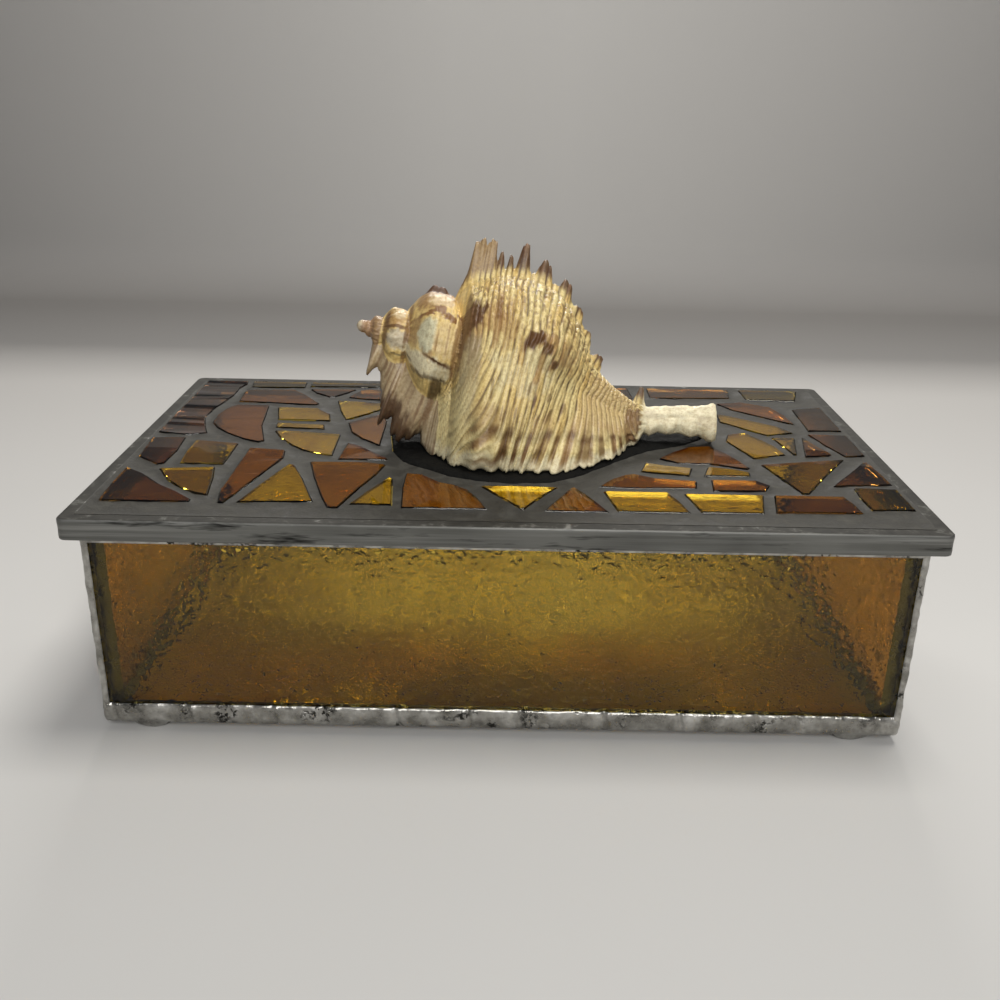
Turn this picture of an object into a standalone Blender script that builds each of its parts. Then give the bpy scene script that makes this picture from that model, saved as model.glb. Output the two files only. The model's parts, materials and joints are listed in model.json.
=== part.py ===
"""A lidded box of amber stained glass, with a mosaic lid and a murex shell for its handle.

Units are metres, +Z is up. The origin is under the middle of the box, at the level of its feet,
+X runs to the right along the box's length and +Y to its back.
"""
import math

import bmesh
import bpy

# Gap kept between two pieces that touch
FIT = 0.0003

# Glass box, measured over the outer faces of its panes
GLASS_LENGTH = 0.2434
GLASS_DEPTH = 0.1401
BODY_HEIGHT = 0.0631
WALL_GLASS = 0.0030
FLOOR_GLASS = 0.0030

# Solder that joins the panes
FOOT_DROP = 0.0030
FOOT_INSET = 0.0130
FOOT_HALF_LENGTH = 0.0070
FOOT_HALF_DEPTH = 0.0040
BEAD_PROUD = 0.0011
BEAD_UNDER = 0.0008
BEAD_WEB = 0.0006
BEAD_LAP = 0.0013
BEAD_ROUND = 0.0007
UNDER_LAP = 0.0045
FILLET = 0.0017
CORNER_PROUD = 0.0009
CORNER_LAP = 0.0014
CORNER_WEB = 0.0008
CORNER_ROUND = 0.0009
RIM_PROUD = 0.0008
RIM_THICKNESS = 0.0007
RIM_LAP = 0.0012

# Lid
LID_OVERHANG = 0.0053
CAME_HEIGHT = 0.0065
CAME_WALL = 0.0012
CAME_SHEET = 0.0006
CAME_FLANGE = 0.0045
CAME_LOWER_FLANGE = 0.0075
CAME_CORNER = 0.0026
CAME_EDGE_ROUND = 0.0006
LID_GLASS = 0.0028
TILE_GLASS = 0.0028
BED_PROUD = 0.0006

# Grout outside the outermost tiles, in the millimetres of the mosaic's drawing
DRAWING_MARGIN = 0.6

# Murex shell
SHELL_LENGTH = 0.1230
SHELL_BACK = 0.0050

# Heights worked out from the sizes above
BEAD_BOTTOM = FOOT_DROP
FLOOR_BOTTOM = BEAD_BOTTOM + BEAD_UNDER + FIT
FLOOR_TOP = FLOOR_BOTTOM + FLOOR_GLASS
WALL_BOTTOM = FLOOR_TOP + BEAD_WEB + 2 * FIT
LID_BOTTOM = BEAD_BOTTOM + BODY_HEIGHT
RIM_TOP = LID_BOTTOM - FIT
WALL_TOP = RIM_TOP - RIM_THICKNESS - FIT
LID_TOP = LID_BOTTOM + CAME_HEIGHT
LID_PANE_BOTTOM = LID_BOTTOM + CAME_SHEET + FIT
LID_PANE_TOP = LID_PANE_BOTTOM + LID_GLASS
TILE_BOTTOM = LID_PANE_TOP + FIT
TILE_TOP = TILE_BOTTOM + TILE_GLASS
BED_TOP = LID_TOP + BED_PROUD
SHELL_BASE = BED_TOP + FIT

HALF_LENGTH = GLASS_LENGTH / 2
HALF_DEPTH = GLASS_DEPTH / 2
SIDE_PANE_START = WALL_GLASS + CORNER_WEB + 2 * FIT
LID_LENGTH = GLASS_LENGTH + 2 * LID_OVERHANG
LID_DEPTH = GLASS_DEPTH + 2 * LID_OVERHANG

# The mosaic's drawing, stretched to the space inside the came: glass colour, then the corners of the tile
TILES = [
    # front row, from the left
    ("brown", [(-119.5, -60), (-120.5, -45.5), (-120.5, -32.5), (-114, -37.5), (-105, -47.5),
               (-99, -52.5), (-93, -58.5), (-93, -60.5), (-118, -60.5)]),
    ("gold", [(-110, -33), (-101.5, -32), (-93, -31), (-91, -40.5), (-89, -55), (-93, -53.5),
              (-98, -50), (-104, -43.5)]),
    ("amber", [(-86, -12), (-74, -13.5), (-73, -21), (-76.5, -35.5), (-79, -45.5), (-81, -54.5),
               (-83, -60.5), (-84.5, -60.5), (-86, -51.5), (-86, -37)]),
    ("gold", [(-70, -27), (-68, -28), (-63.5, -39.5), (-57, -58.5), (-79, -60), (-75, -44.5)]),
    ("brown", [(-63.5, -24.5), (-45.5, -24), (-39, -26), (-41, -35), (-45.5, -49.5), (-49, -63),
               (-52, -63), (-55.5, -53), (-60, -38)]),
    ("gold", [(-36.5, -37), (-35.5, -38.5), (-33.5, -60), (-46, -60), (-42, -49.5)]),
    ("amber", [(-31.5, -33.5), (-26.5, -34.5), (-20.5, -41), (-16, -43), (-11.5, -47), (-8.5, -53.5),
               (-5.5, -62), (-30.5, -62), (-31.5, -46)]),
    ("gold", [(-7.5, -43.5), (3.5, -43), (16, -43.5), (11, -51), (5.5, -61), (4.5, -61),
              (-1.5, -52.5)]),
    ("amber", [(20, -44), (21, -43), (24, -48), (27.5, -56), (30, -62.5), (11.5, -62.5), (15, -54.5)]),
    ("gold", [(30, -46), (49.5, -46), (52, -53.5), (54, -62), (33, -62), (31.5, -54.5)]),
    ("gold", [(54.5, -47), (78.5, -47), (75.5, -61.5), (57.5, -61.5)]),
    ("brown", [(82, -47), (103, -47), (104.5, -53.5), (105, -60), (79.5, -60.5)]),
    ("gold", [(108.5, -39.5), (121.5, -40), (121.5, -57), (108.5, -57.5), (108, -48.5)]),
    # left side, going back
    ("amber", [(-121.5, -3), (-110.5, -2), (-109.5, -16), (-110, -28), (-112, -29), (-120, -22)]),
    ("gold", [(-106, -5), (-91, -7.5), (-91, -28), (-105, -28), (-106, -16.5)]),
    ("brown", [(-121.5, 70), (-105.5, 70), (-105, 66), (-106.5, 60), (-106.5, 49.5), (-108, 39),
               (-109.5, 31.5), (-110, 21), (-107.5, 12), (-104.5, 3), (-111.5, 1), (-121.5, 3.5)]),
    ("amber", [(-102, 37.5), (-90, 37), (-88.5, 24), (-87.5, 13), (-83, -4), (-84.5, -5.5),
               (-90.5, -2.5), (-97, 3), (-102, 9), (-105.5, 15), (-106, 24), (-105, 31.5)]),
    ("amber", [(-103, 57.5), (-84.5, 59), (-79, 52.5), (-71.5, 40.5), (-72.5, 39), (-88.5, 40.5),
               (-102.5, 42)]),
    ("gold", [(-86, 35), (-71, 34.5), (-65.5, 27.5), (-64, 19.5), (-83, 20)]),
    ("gold", [(-82.5, 16), (-65.5, 14.5), (-64.5, 9.5), (-82, 11)]),
    ("gold", [(-81.5, 7), (-72.5, 6.5), (-58, 4), (-57.5, -18), (-61.5, -17), (-68, -13), (-72.5, -8.5),
              (-77.5, -1.5)]),
    ("brown", [(-57, 17.5), (-51, 24), (-46.5, 28), (-43.5, 20), (-43, -7), (-50, 0), (-54.5, 7)]),
    ("amber", [(-54, -5), (-49.5, -8), (-43, -15.5), (-39, -20), (-39.5, -21), (-55, -21.5)]),
    # behind the left of the shell
    ("gold", [(-65, 45), (-54.5, 43.5), (-43.5, 41), (-43.5, 39), (-51.5, 28.5), (-58.5, 21),
              (-62, 32)]),
    ("amber", [(-78, 60), (-60, 60.5), (-63, 55.5), (-67, 50.5), (-69, 50), (-75, 55)]),
    ("amber", [(-58, 60), (-46, 61.5), (-43.5, 46.5), (-54, 47.5), (-61.5, 49.5)]),
    ("gold", [(-103, 70), (-81.5, 70), (-81, 62.5), (-102, 61.5)]),
    ("gold", [(-79, 70), (-50, 70), (-49, 65), (-79, 64)]),
    ("brown", [(-41, 53), (-16, 54), (-15, 70), (-45, 70)]),
    ("gold", [(-11, 54), (17, 54), (20, 70), (-10, 70)]),
    ("amber", [(22, 54), (50, 54), (49, 70), (25, 70)]),
    # right side, going back
    ("amber", [(51, -15), (56, -9), (62.5, -3), (70, -1.5), (74, -8), (76.5, -14), (79.5, -22.5),
               (78.5, -24), (67, -19.5), (57, -19.5)]),
    ("gold", [(46, -19.5), (52, -22), (60.5, -24), (58.5, -31), (43.5, -28)]),
    ("gold", [(66, -22.5), (74.5, -24.5), (78.5, -27), (78, -30.5), (63.5, -30.5)]),
    ("amber", [(29, -42), (33.5, -35.5), (38, -31.5), (41, -30.5), (47, -34), (60, -36), (59, -42),
               (37.5, -43)]),
    ("amber", [(65, -34.5), (79, -34.5), (82.5, -38.5), (80, -43.5), (64, -44)]),
    ("brown", [(118.5, -16), (120, -15), (121, -25), (121.5, -36), (102.5, -38), (110.5, -27)]),
    ("gold", [(84, -19.5), (97.5, -16.5), (113, -13), (104.5, -26), (93, -45), (91, -45), (87.5, -32)]),
    ("gold", [(79, 11.5), (85.5, 14), (89.5, 6.5), (93, -1), (94.5, -9), (83, -13.5), (78.5, -0.5),
              (77, 4.5)]),
    ("gold", [(94, 9), (102, 9), (98.5, -8.5), (97.5, -8.5)]),
    ("brown", [(105, 10), (107.5, 1), (110.5, -7.5), (109, -9), (101, -10.5)]),
    ("brown", [(108, 13.5), (121.5, 13), (121.5, -8.5), (114.5, -10), (111, 1)]),
    ("brown", [(110, 44), (121.5, 47.5), (121.5, 18), (109.5, 18)]),
    ("amber", [(82, 50), (92, 52.5), (102, 46.5), (105, 36), (106, 25), (98, 31.5), (86, 42.5)]),
    ("gold", [(79.5, 36.5), (85, 33), (99, 22), (103, 15), (93, 11.5), (79, 26.5)]),
    ("brown", [(57, 70), (90, 70), (88.5, 58), (57, 56.5)]),
    ("gold", [(94.5, 70), (118, 70), (114, 56), (95, 57)]),
]

# Edge of the black adhesive under the shell, on the mosaic's drawing
BED_EDGE = [(-40.5, 32), (-38, -12), (-27, -28), (-8, -39), (14, -39), (27, -28.5), (37, -18), (48, -7.5),
            (62, 0.5), (72, 12), (75, 26), (62, 42), (24, 50), (-26, 49)]

# The shell's axis: distance along the shell, height over the lid, lean of its rings in degrees
SHELL_AXIS = [(-51, 38.9, 10), (-17, 31.5, 10), (0, 27.0, 10), (10, 23.5, 18), (18, 19.5, 29),
              (26, 14.5, 36), (34, 10.5, 28), (45, 7.4, 9), (57, 8.0, 3), (72, 7.0, 0)]

# The shell's girth: distance along the shell and radius of the smooth form under its carving
SHELL_GIRTH = [(-21, 19.5), (-16, 22.5), (-10, 25.8), (-4, 28.0), (3, 28.9), (8, 27.8), (12, 24.8),
               (16, 20.0), (20, 14.6), (24, 11.0), (30, 9.2), (36, 7.6), (44, 5.4), (50, 4.5), (58, 4.3),
               (66, 5.0), (72, 6.4)]

# The flared lip: distance along the shell, turn from the top and radius of its edge
SHELL_LIP = [(-21.5, 150, 35), (-19, 144, 39), (-15, 136, 41.5), (-8, 127, 46.4), (-3, 124, 47.6),
             (5, 122, 45.5), (16, 119, 44.2), (27, 113, 40.5), (33, 110, 33), (39, 110, 23), (43, 118, 14),
             (47, 124, 7)]

# Fronds of the varix on top of the shell: place along it, half width and height
FRONDS = [(-26.5, 4.0, 2.4), (-15.7, 2.7, 16.2), (-11.9, 2.7, 13.0), (-7.9, 1.7, 8.8), (-4.6, 1.5, 6.9),
          (-0.8, 2.3, 11.2), (4.9, 2.4, 7.4), (10.3, 2.2, 6.0), (14.4, 1.9, 4.2), (18.4, 1.9, 3.4),
          (23.4, 2.2, 4.4), (45.0, 2.3, 6.0)]

# Frilled web under the spire: place along the shell and height of its crest
SPIRE_WEB = [(-45, 0), (-42.6, 9.5), (-40.5, 5), (-38, 6.5), (-35.5, 12), (-33.2, 19), (-31, 16.5),
             (-28, 18.5), (-24, 13), (-20.5, 5), (-17.5, 0)]
WEB_TURN = 162.0
WEB_HALF_TURN = 34.0
WEB_LEAN = 0.3

# The spire's whorls
WHORL_GROWTH = 1.95
WHORL_SPREAD = 0.55
HELIX_MIDDLE = -10.0
APEX = -51.0
BODY_SUTURE = 30.6
SUTURE_CLIMB = 4.0
CLIMB_HALF_TURN = 60.0
SHOULDER_SHARE = 0.62
GROOVE_WIDTH = 0.06
GROOVE_DEPTH = 0.14
BODY_START = -21.0

# The varix on top, the one behind it and the knob between varix and lip
VARIX_TURN = -12.0
VARIX_HALF_WIDTH = 5.0
VARIX_RIDGE = 2.2
LONG_VARIX = 34.0
BLADE_FLAT = 0.58
BACK_VARIX_TURN = -132.0
BACK_VARIX_HALF_TURN = 14.0
BACK_VARIX_PLACE = 6.0
BACK_VARIX_HALF_LENGTH = 24.0
BACK_VARIX_HEIGHT = 3.0
KNOB_TURN = 58.0
KNOB_HALF_TURN = 18.0
KNOB_PLACE = 9.0
KNOB_HALF_LENGTH = 8.0
KNOB_HEIGHT = 3.2

# Flare and scallops of the lip
LIP_START = 62.0
LIP_LATER = 40.0
LIP_LATER_LENGTH = 12.0
LIP_MIDDLE = 120.0
LIP_END = 200.0
SCALLOP_LENGTH = 6.5
SCALLOP_DEPTH = 1.0

# Spacing of the shell's rings and of the points round them
RING_STEP = 2.4
RING_SPACE = 0.6
TURN_STEP = 11.2


def clear_scene():
    for thing in list(bpy.data.objects):
        bpy.data.objects.remove(thing, do_unlink=True)


def material(name, color, roughness, metallic=0.0, transmission=0.0):
    made = bpy.data.materials.get(name)
    if made is None:
        made = bpy.data.materials.new(name)
        made.use_nodes = True
        shader = made.node_tree.nodes["Principled BSDF"]
        shader.inputs["Base Color"].default_value = (*color, 1.0)
        shader.inputs["Roughness"].default_value = roughness
        shader.inputs["Metallic"].default_value = metallic
        shader.inputs["Transmission Weight"].default_value = transmission
    return made


def glass(name):
    tints = {"wall": (0.78, 0.45, 0.06), "gold": (0.82, 0.62, 0.10), "amber": (0.72, 0.32, 0.05),
             "brown": (0.42, 0.20, 0.06)}
    return material("glass_" + name, tints[name], 0.08, transmission=0.85)


def solder():
    return material("solder", (0.62, 0.61, 0.59), 0.35, metallic=1.0)


def came_metal():
    return material("came_metal", (0.27, 0.27, 0.27), 0.45, metallic=0.9)


def shell_material():
    return material("shell", (0.80, 0.70, 0.52), 0.45)


def add_object(name, mesh_data, surface):
    """Make an object from a bmesh, and free the bmesh."""
    bmesh.ops.recalc_face_normals(mesh_data, faces=mesh_data.faces)
    mesh = bpy.data.meshes.new(name)
    mesh_data.to_mesh(mesh)
    mesh_data.free()
    mesh.materials.append(surface)
    made = bpy.data.objects.new(name, mesh)
    bpy.context.collection.objects.link(made)
    return made


def loft(name, rings, surface, closed=False):
    """Skin rings of points. A closed loft joins its last ring to the first, an open one has flat caps."""
    shape = bmesh.new()
    rows = [[shape.verts.new(point) for point in ring] for ring in rings]
    around = len(rows[0])
    pairs = list(zip(rows, rows[1:]))
    if closed:
        pairs.append((rows[-1], rows[0]))
    for low, high in pairs:
        for i in range(around):
            j = (i + 1) % around
            shape.faces.new((low[i], low[j], high[j], high[i]))
    if not closed:
        shape.faces.new(list(reversed(rows[0])))
        shape.faces.new(rows[-1])
    bmesh.ops.remove_doubles(shape, verts=shape.verts, dist=1e-6)
    return add_object(name, shape, surface)


def prism(name, outline, bottom, top, surface):
    rings = [[(x, y, z) for x, y in outline] for z in (bottom, top)]
    return loft(name, rings, surface)


def block(name, low, high, surface):
    outline = [(low[0], low[1]), (high[0], low[1]), (high[0], high[1]), (low[0], high[1])]
    return prism(name, outline, low[2], high[2], surface)


def rounded_rectangle(half_length, half_depth, radius, steps=4):
    """Outline of a rectangle round the origin. A radius of nothing gives the same count of points."""
    radius = max(radius, 0.0)
    points = []
    for quarter, (sx, sy) in enumerate(((1, 1), (-1, 1), (-1, -1), (1, -1))):
        for step in range(steps + 1):
            turn = math.radians(90 * quarter + 90 * step / steps)
            points.append((sx * (half_length - radius) + radius * math.cos(turn),
                           sy * (half_depth - radius) + radius * math.sin(turn)))
    return points


def rectangular_ring(name, half_length, half_depth, corner, section, surface):
    """Sweep a section round a rectangle. A point of the section is (distance outwards, height)."""
    rings = []
    for out, height in section:
        outline = rounded_rectangle(half_length + out, half_depth + out, corner + out)
        rings.append([(x, y, height) for x, y in outline])
    return loft(name, rings, surface, closed=True)


def fuse(target, others, operation="UNION"):
    """Join solids to the target, or cut them from it, and keep only the target."""
    for other in others:
        modifier = target.modifiers.new(other.name, "BOOLEAN")
        modifier.operation = operation
        modifier.solver = "EXACT"
        modifier.object = other
    bpy.context.view_layer.update()
    shown = target.evaluated_get(bpy.context.evaluated_depsgraph_get())
    result = bpy.data.meshes.new_from_object(shown)
    target.modifiers.clear()
    target.data = result
    for other in others:
        bpy.data.objects.remove(other, do_unlink=True)
    return target


def smooth_value(stations, place, column=1):
    """Read a smooth curve through stations, each a tuple whose first value is its place."""
    if place <= stations[0][0]:
        return stations[0][column]
    if place >= stations[-1][0]:
        return stations[-1][column]
    last = len(stations) - 1
    i = max(k for k in range(last) if stations[k][0] <= place)

    def slope(k):
        a = stations[max(k - 1, 0)]
        b = stations[min(k + 1, last)]
        return (b[column] - a[column]) / (b[0] - a[0])

    here, there = stations[i], stations[i + 1]
    span = there[0] - here[0]
    t = (place - here[0]) / span
    return (here[column] * (2 * t ** 3 - 3 * t ** 2 + 1) + slope(i) * span * (t ** 3 - 2 * t ** 2 + t)
            + there[column] * (3 * t ** 2 - 2 * t ** 3) + slope(i + 1) * span * (t ** 3 - t ** 2))


def build_walls():
    for name, side in (("wall_front", -1), ("wall_back", 1)):
        faces = sorted((side * HALF_DEPTH, side * (HALF_DEPTH - WALL_GLASS)))
        block(name, (-HALF_LENGTH, faces[0], WALL_BOTTOM), (HALF_LENGTH, faces[1], WALL_TOP), glass("wall"))
    reach = HALF_DEPTH - SIDE_PANE_START
    for name, side in (("wall_left", -1), ("wall_right", 1)):
        faces = sorted((side * HALF_LENGTH, side * (HALF_LENGTH - WALL_GLASS)))
        block(name, (faces[0], -reach, WALL_BOTTOM), (faces[1], reach, WALL_TOP), glass("wall"))
    block("floor_pane", (-HALF_LENGTH, -HALF_DEPTH, FLOOR_BOTTOM), (HALF_LENGTH, HALF_DEPTH, FLOOR_TOP),
          glass("wall"))


def bottom_bead():
    """The bead that holds the floor under the walls: a strip below, a web between and a fillet inside."""
    under = BEAD_BOTTOM
    web = FLOOR_TOP + FIT
    lap_top = WALL_BOTTOM + BEAD_LAP
    inside = -(WALL_GLASS + FIT)
    outer_edge = FIT + BEAD_ROUND / 2
    section = [(-UNDER_LAP, under), (BEAD_PROUD - BEAD_ROUND, under), (BEAD_PROUD, under + BEAD_ROUND),
               (BEAD_PROUD, lap_top - BEAD_ROUND), (outer_edge, lap_top), (FIT, lap_top),
               (FIT, web + BEAD_WEB), (inside, web + BEAD_WEB), (inside, web + FILLET),
               (inside - FILLET, web), (FIT, web), (FIT, under + BEAD_UNDER),
               (-UNDER_LAP, under + BEAD_UNDER)]
    return rectangular_ring("solder_frame", HALF_LENGTH, HALF_DEPTH, 0.0, section, solder())


def top_rim():
    """The tinned foil folded over the walls' top edges."""
    low = WALL_TOP - RIM_LAP
    inside = -(WALL_GLASS + FIT)
    thin = RIM_PROUD - FIT
    section = [(FIT, low), (RIM_PROUD, low), (RIM_PROUD, RIM_TOP - FIT), (RIM_PROUD - FIT, RIM_TOP),
               (inside - thin + FIT, RIM_TOP), (inside - thin, RIM_TOP - FIT), (inside - thin, low),
               (inside, low), (inside, WALL_TOP + FIT), (FIT, WALL_TOP + FIT)]
    return rectangular_ring("top_rim", HALF_LENGTH, HALF_DEPTH, 0.0, section, solder())


def corner_seam(side_x, side_y):
    """An upright seam: a rounded lip round the outside, a web behind the front pane's end and a fillet."""
    web = WALL_GLASS + FIT
    behind = web + CORNER_WEB
    side_lap = SIDE_PANE_START + CORNER_LAP
    outline = [(CORNER_LAP, -CORNER_PROUD), (CORNER_LAP, -FIT), (-FIT, -FIT), (-FIT, web),
               (web + FILLET, web), (web, web + FILLET), (web, behind), (-FIT, behind), (-FIT, side_lap),
               (-CORNER_PROUD, side_lap)]
    for step in range(4):
        turn = math.radians(180 + 30 * step)
        middle = CORNER_ROUND - CORNER_PROUD
        outline.append((middle + CORNER_ROUND * math.cos(turn), middle + CORNER_ROUND * math.sin(turn)))
    placed = [(side_x * (HALF_LENGTH - u), side_y * (HALF_DEPTH - v)) for u, v in outline]
    bottom = FLOOR_TOP + FIT + BEAD_WEB / 2
    top = RIM_TOP - RIM_THICKNESS / 2
    return prism("corner_seam", placed, bottom, top, solder())


def foot(side_x, side_y):
    """A drop of solder with a small flat under it."""
    profile = [(0.0, 0.45), (0.12, 0.68), (0.40, 0.86), (0.75, 0.97), (1.0, 1.0)]
    top = BEAD_BOTTOM + BEAD_UNDER / 2
    middle_x = side_x * (HALF_LENGTH - FOOT_INSET)
    middle_y = side_y * (HALF_DEPTH + BEAD_PROUD - BEAD_ROUND - FOOT_HALF_DEPTH)
    rings = []
    for rise, spread in profile:
        ring = []
        for step in range(16):
            turn = math.radians(22.5 * step)
            ring.append((middle_x + FOOT_HALF_LENGTH * spread * math.cos(turn),
                         middle_y + FOOT_HALF_DEPTH * spread * math.sin(turn), rise * top))
        rings.append(ring)
    return loft("foot", rings, solder())


def build_solder():
    corners = [(x, y) for x in (-1, 1) for y in (-1, 1)]
    pieces = [top_rim()]
    pieces += [corner_seam(x, y) for x, y in corners]
    pieces += [foot(x, y) for x, y in corners]
    fuse(bottom_bead(), pieces)


def build_came():
    top, bottom = LID_TOP, LID_BOTTOM
    section = [(-CAME_EDGE_ROUND, top), (-CAME_FLANGE, top), (-CAME_FLANGE, top - CAME_SHEET),
               (-CAME_WALL, top - CAME_SHEET), (-CAME_WALL, bottom + CAME_SHEET),
               (-CAME_LOWER_FLANGE, bottom + CAME_SHEET), (-CAME_LOWER_FLANGE, bottom),
               (-CAME_EDGE_ROUND, bottom), (0.0, bottom + CAME_EDGE_ROUND), (0.0, top - CAME_EDGE_ROUND)]
    rectangular_ring("lid_came", LID_LENGTH / 2, LID_DEPTH / 2, CAME_CORNER, section, came_metal())


def lid_outline(inset):
    return rounded_rectangle(LID_LENGTH / 2 - inset, LID_DEPTH / 2 - inset, CAME_CORNER - inset)


def build_lid_pane():
    outline = lid_outline(CAME_WALL + FIT)
    prism("lid_pane", tidy_outline(outline), LID_PANE_BOTTOM, LID_PANE_TOP, glass("wall"))


def tidy_outline(points):
    """Drop points that lie on the point before them."""
    kept = []
    for point in points:
        if not kept or math.dist(point, kept[-1]) > 1e-6:
            kept.append(point)
    return kept


def drawing_reach(axis):
    """Half the length or the depth of the field on which the mosaic is drawn."""
    return max(abs(corner[axis]) for tint, corners in TILES for corner in corners) + DRAWING_MARGIN


def on_lid(point):
    """Stretch a point of the mosaic's drawing to the space inside the came."""
    half_length = LID_LENGTH / 2 - CAME_FLANGE - FIT
    half_depth = LID_DEPTH / 2 - CAME_FLANGE - FIT
    return (point[0] * half_length / drawing_reach(0), point[1] * half_depth / drawing_reach(1))


def signed_area(points):
    return 0.5 * sum(a[0] * b[1] - b[0] * a[1] for a, b in zip(points, points[1:] + points[:1]))


def grow(points, distance):
    """Move every side of an outline outwards by the same distance."""
    if signed_area(points) < 0:
        points = list(reversed(points))
    grown = []
    count = len(points)
    for i, corner in enumerate(points):
        before, after = points[i - 1], points[(i + 1) % count]
        normals = []
        for a, b in ((before, corner), (corner, after)):
            length = math.dist(a, b)
            normals.append(((b[1] - a[1]) / length, (a[0] - b[0]) / length))
        (ax, ay), (bx, by) = normals
        share = distance / (1 + ax * bx + ay * by)
        grown.append((corner[0] + share * (ax + bx), corner[1] + share * (ay + by)))
    return grown


def bed_outline():
    """A closed smooth curve through the points of the bed's edge."""
    points = [on_lid(point) for point in BED_EDGE]
    count = len(points)
    outline = []
    for i in range(count):
        a, b, c, d = (points[(i + k) % count] for k in (-1, 0, 1, 2))
        for t in (0.0, 0.5):
            outline.append(tuple(b[k] + 0.5 * t * (c[k] - a[k] + t * (2 * a[k] - 5 * b[k] + 4 * c[k] - d[k]
                                 + t * (3 * (b[k] - c[k]) + d[k] - a[k]))) for k in (0, 1)))
    return outline


def build_mosaic():
    """Tiles and the shell's bed on the lid's pane, in a web of grout with a hole for each."""
    top_edge = lid_outline(CAME_FLANGE + FIT)
    under_edge = lid_outline(CAME_WALL + FIT)
    step = LID_TOP - CAME_SHEET - FIT
    levels = ((under_edge, TILE_BOTTOM), (under_edge, step), (top_edge, step), (top_edge, LID_TOP))
    grout_surface = material("grout", (0.16, 0.16, 0.16), 0.9)
    grout = loft("grout", [[(x, y, z) for x, y in edge] for edge, z in levels], grout_surface)
    outlines = [[on_lid(corner) for corner in corners] for tint, corners in TILES]
    for number, (outline, (tint, corners)) in enumerate(zip(outlines, TILES), start=1):
        prism(f"tile_{number:02d}", outline, TILE_BOTTOM, TILE_TOP, glass(tint))
    bed_surface = material("adhesive", (0.02, 0.02, 0.02), 0.8)
    prism("shell_bed", bed_outline(), TILE_BOTTOM, BED_TOP, bed_surface)
    cutters = []
    for outline in outlines + [bed_outline()]:
        cutters.append(prism("hole", grow(outline, FIT), TILE_BOTTOM - FIT, TILE_TOP + FIT, grout_surface))
    for cutter in cutters[1:]:
        join_into(cutters[0], cutter)
    fuse(grout, cutters[:1], "DIFFERENCE")


def join_into(target, other):
    """Put another object's mesh into the target's as a loose piece."""
    both = bmesh.new()
    both.from_mesh(target.data)
    both.from_mesh(other.data)
    both.to_mesh(target.data)
    both.free()
    bpy.data.objects.remove(other, do_unlink=True)


def bump(distance, half_width):
    """One at nothing, falling smoothly to nothing at the half width."""
    share = min(abs(distance) / half_width, 1.0)
    return (1 - share * share) ** 2


def turn_between(a, b):
    return (a - b + 180) % 360 - 180


def blade(distance, half_width):
    """A blade's outline: a flat tip with steep shoulders."""
    return min(1.0, max(1 - abs(distance) / half_width, 0.0) / (1 - BLADE_FLAT))


def spire_radius(place, turn):
    """Stepped whorls, each swelling from its suture to its shoulder, wound on a widening helix."""
    from_apex = max(place - APEX, 0.3)
    suture = BODY_SUTURE * WHORL_GROWTH ** ((turn_between(turn, HELIX_MIDDLE) + HELIX_MIDDLE) / 360)
    climb = SUTURE_CLIMB * bump(turn - LIP_MIDDLE, CLIMB_HALF_TURN)
    whorl = math.log(from_apex / (suture - climb)) / math.log(WHORL_GROWTH)
    share = whorl - math.floor(whorl)
    swell = min(share / SHOULDER_SHARE, 1.0)
    radius = WHORL_SPREAD * suture * WHORL_GROWTH ** (math.floor(whorl) + math.sin(math.pi / 2 * swell))
    groove = math.exp(-share / GROOVE_WIDTH) + math.exp(-(1 - share) / GROOVE_WIDTH) / 2
    return radius * (1 - GROOVE_DEPTH * groove)


def varix_height(place, turn):
    """Fronds of the varix on top, and the ridge a third of a turn behind it."""
    height = 0.0
    near = bump(turn_between(turn, VARIX_TURN), VARIX_HALF_WIDTH)
    if near > 0:
        ridge = VARIX_RIDGE * bump(place, LONG_VARIX)
        height = near * max([ridge] + [tall * blade(place - middle, half) for middle, half, tall in FRONDS])
    if place > BODY_START:
        behind = bump(turn_between(turn, BACK_VARIX_TURN), BACK_VARIX_HALF_TURN)
        height += BACK_VARIX_HEIGHT * behind * bump(place - BACK_VARIX_PLACE, BACK_VARIX_HALF_LENGTH)
    return height


def web_height(place, turn):
    """The frilled web under the spire."""
    return smooth_value(SPIRE_WEB, place) * bump(turn_between(turn, WEB_TURN), WEB_HALF_TURN)


def lip_radius(place, turn, girth):
    """The outer lip flares from the body's front down to its scalloped edge."""
    if not SHELL_LIP[0][0] <= place <= SHELL_LIP[-1][0] or not LIP_START < turn < LIP_END:
        return girth
    edge_turn = smooth_value(SHELL_LIP, place, 1)
    scallop = SCALLOP_DEPTH * math.cos(2 * math.pi * place / SCALLOP_LENGTH)
    edge = smooth_value(SHELL_LIP, place, 2) + scallop
    start = LIP_START + LIP_LATER * bump(place - SHELL_LIP[0][0], LIP_LATER_LENGTH)
    share = min(max(turn - start, 0.0) / (edge_turn - start), 1.0)
    return girth + max(edge - girth, 0.0) * share ** 2


def shell_radius(place, turn):
    girth = spire_radius(place, turn)
    if place > BODY_START:
        girth = min(girth, smooth_value(SHELL_GIRTH, place))
    knob = KNOB_HEIGHT * bump(place - KNOB_PLACE, KNOB_HALF_LENGTH) * bump(turn - KNOB_TURN, KNOB_HALF_TURN)
    flared = max(lip_radius(place, turn, girth), girth + web_height(place, turn))
    return flared + varix_height(place, turn) + knob


def shell_drawn_length():
    return SHELL_GIRTH[-1][0] - APEX


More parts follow.
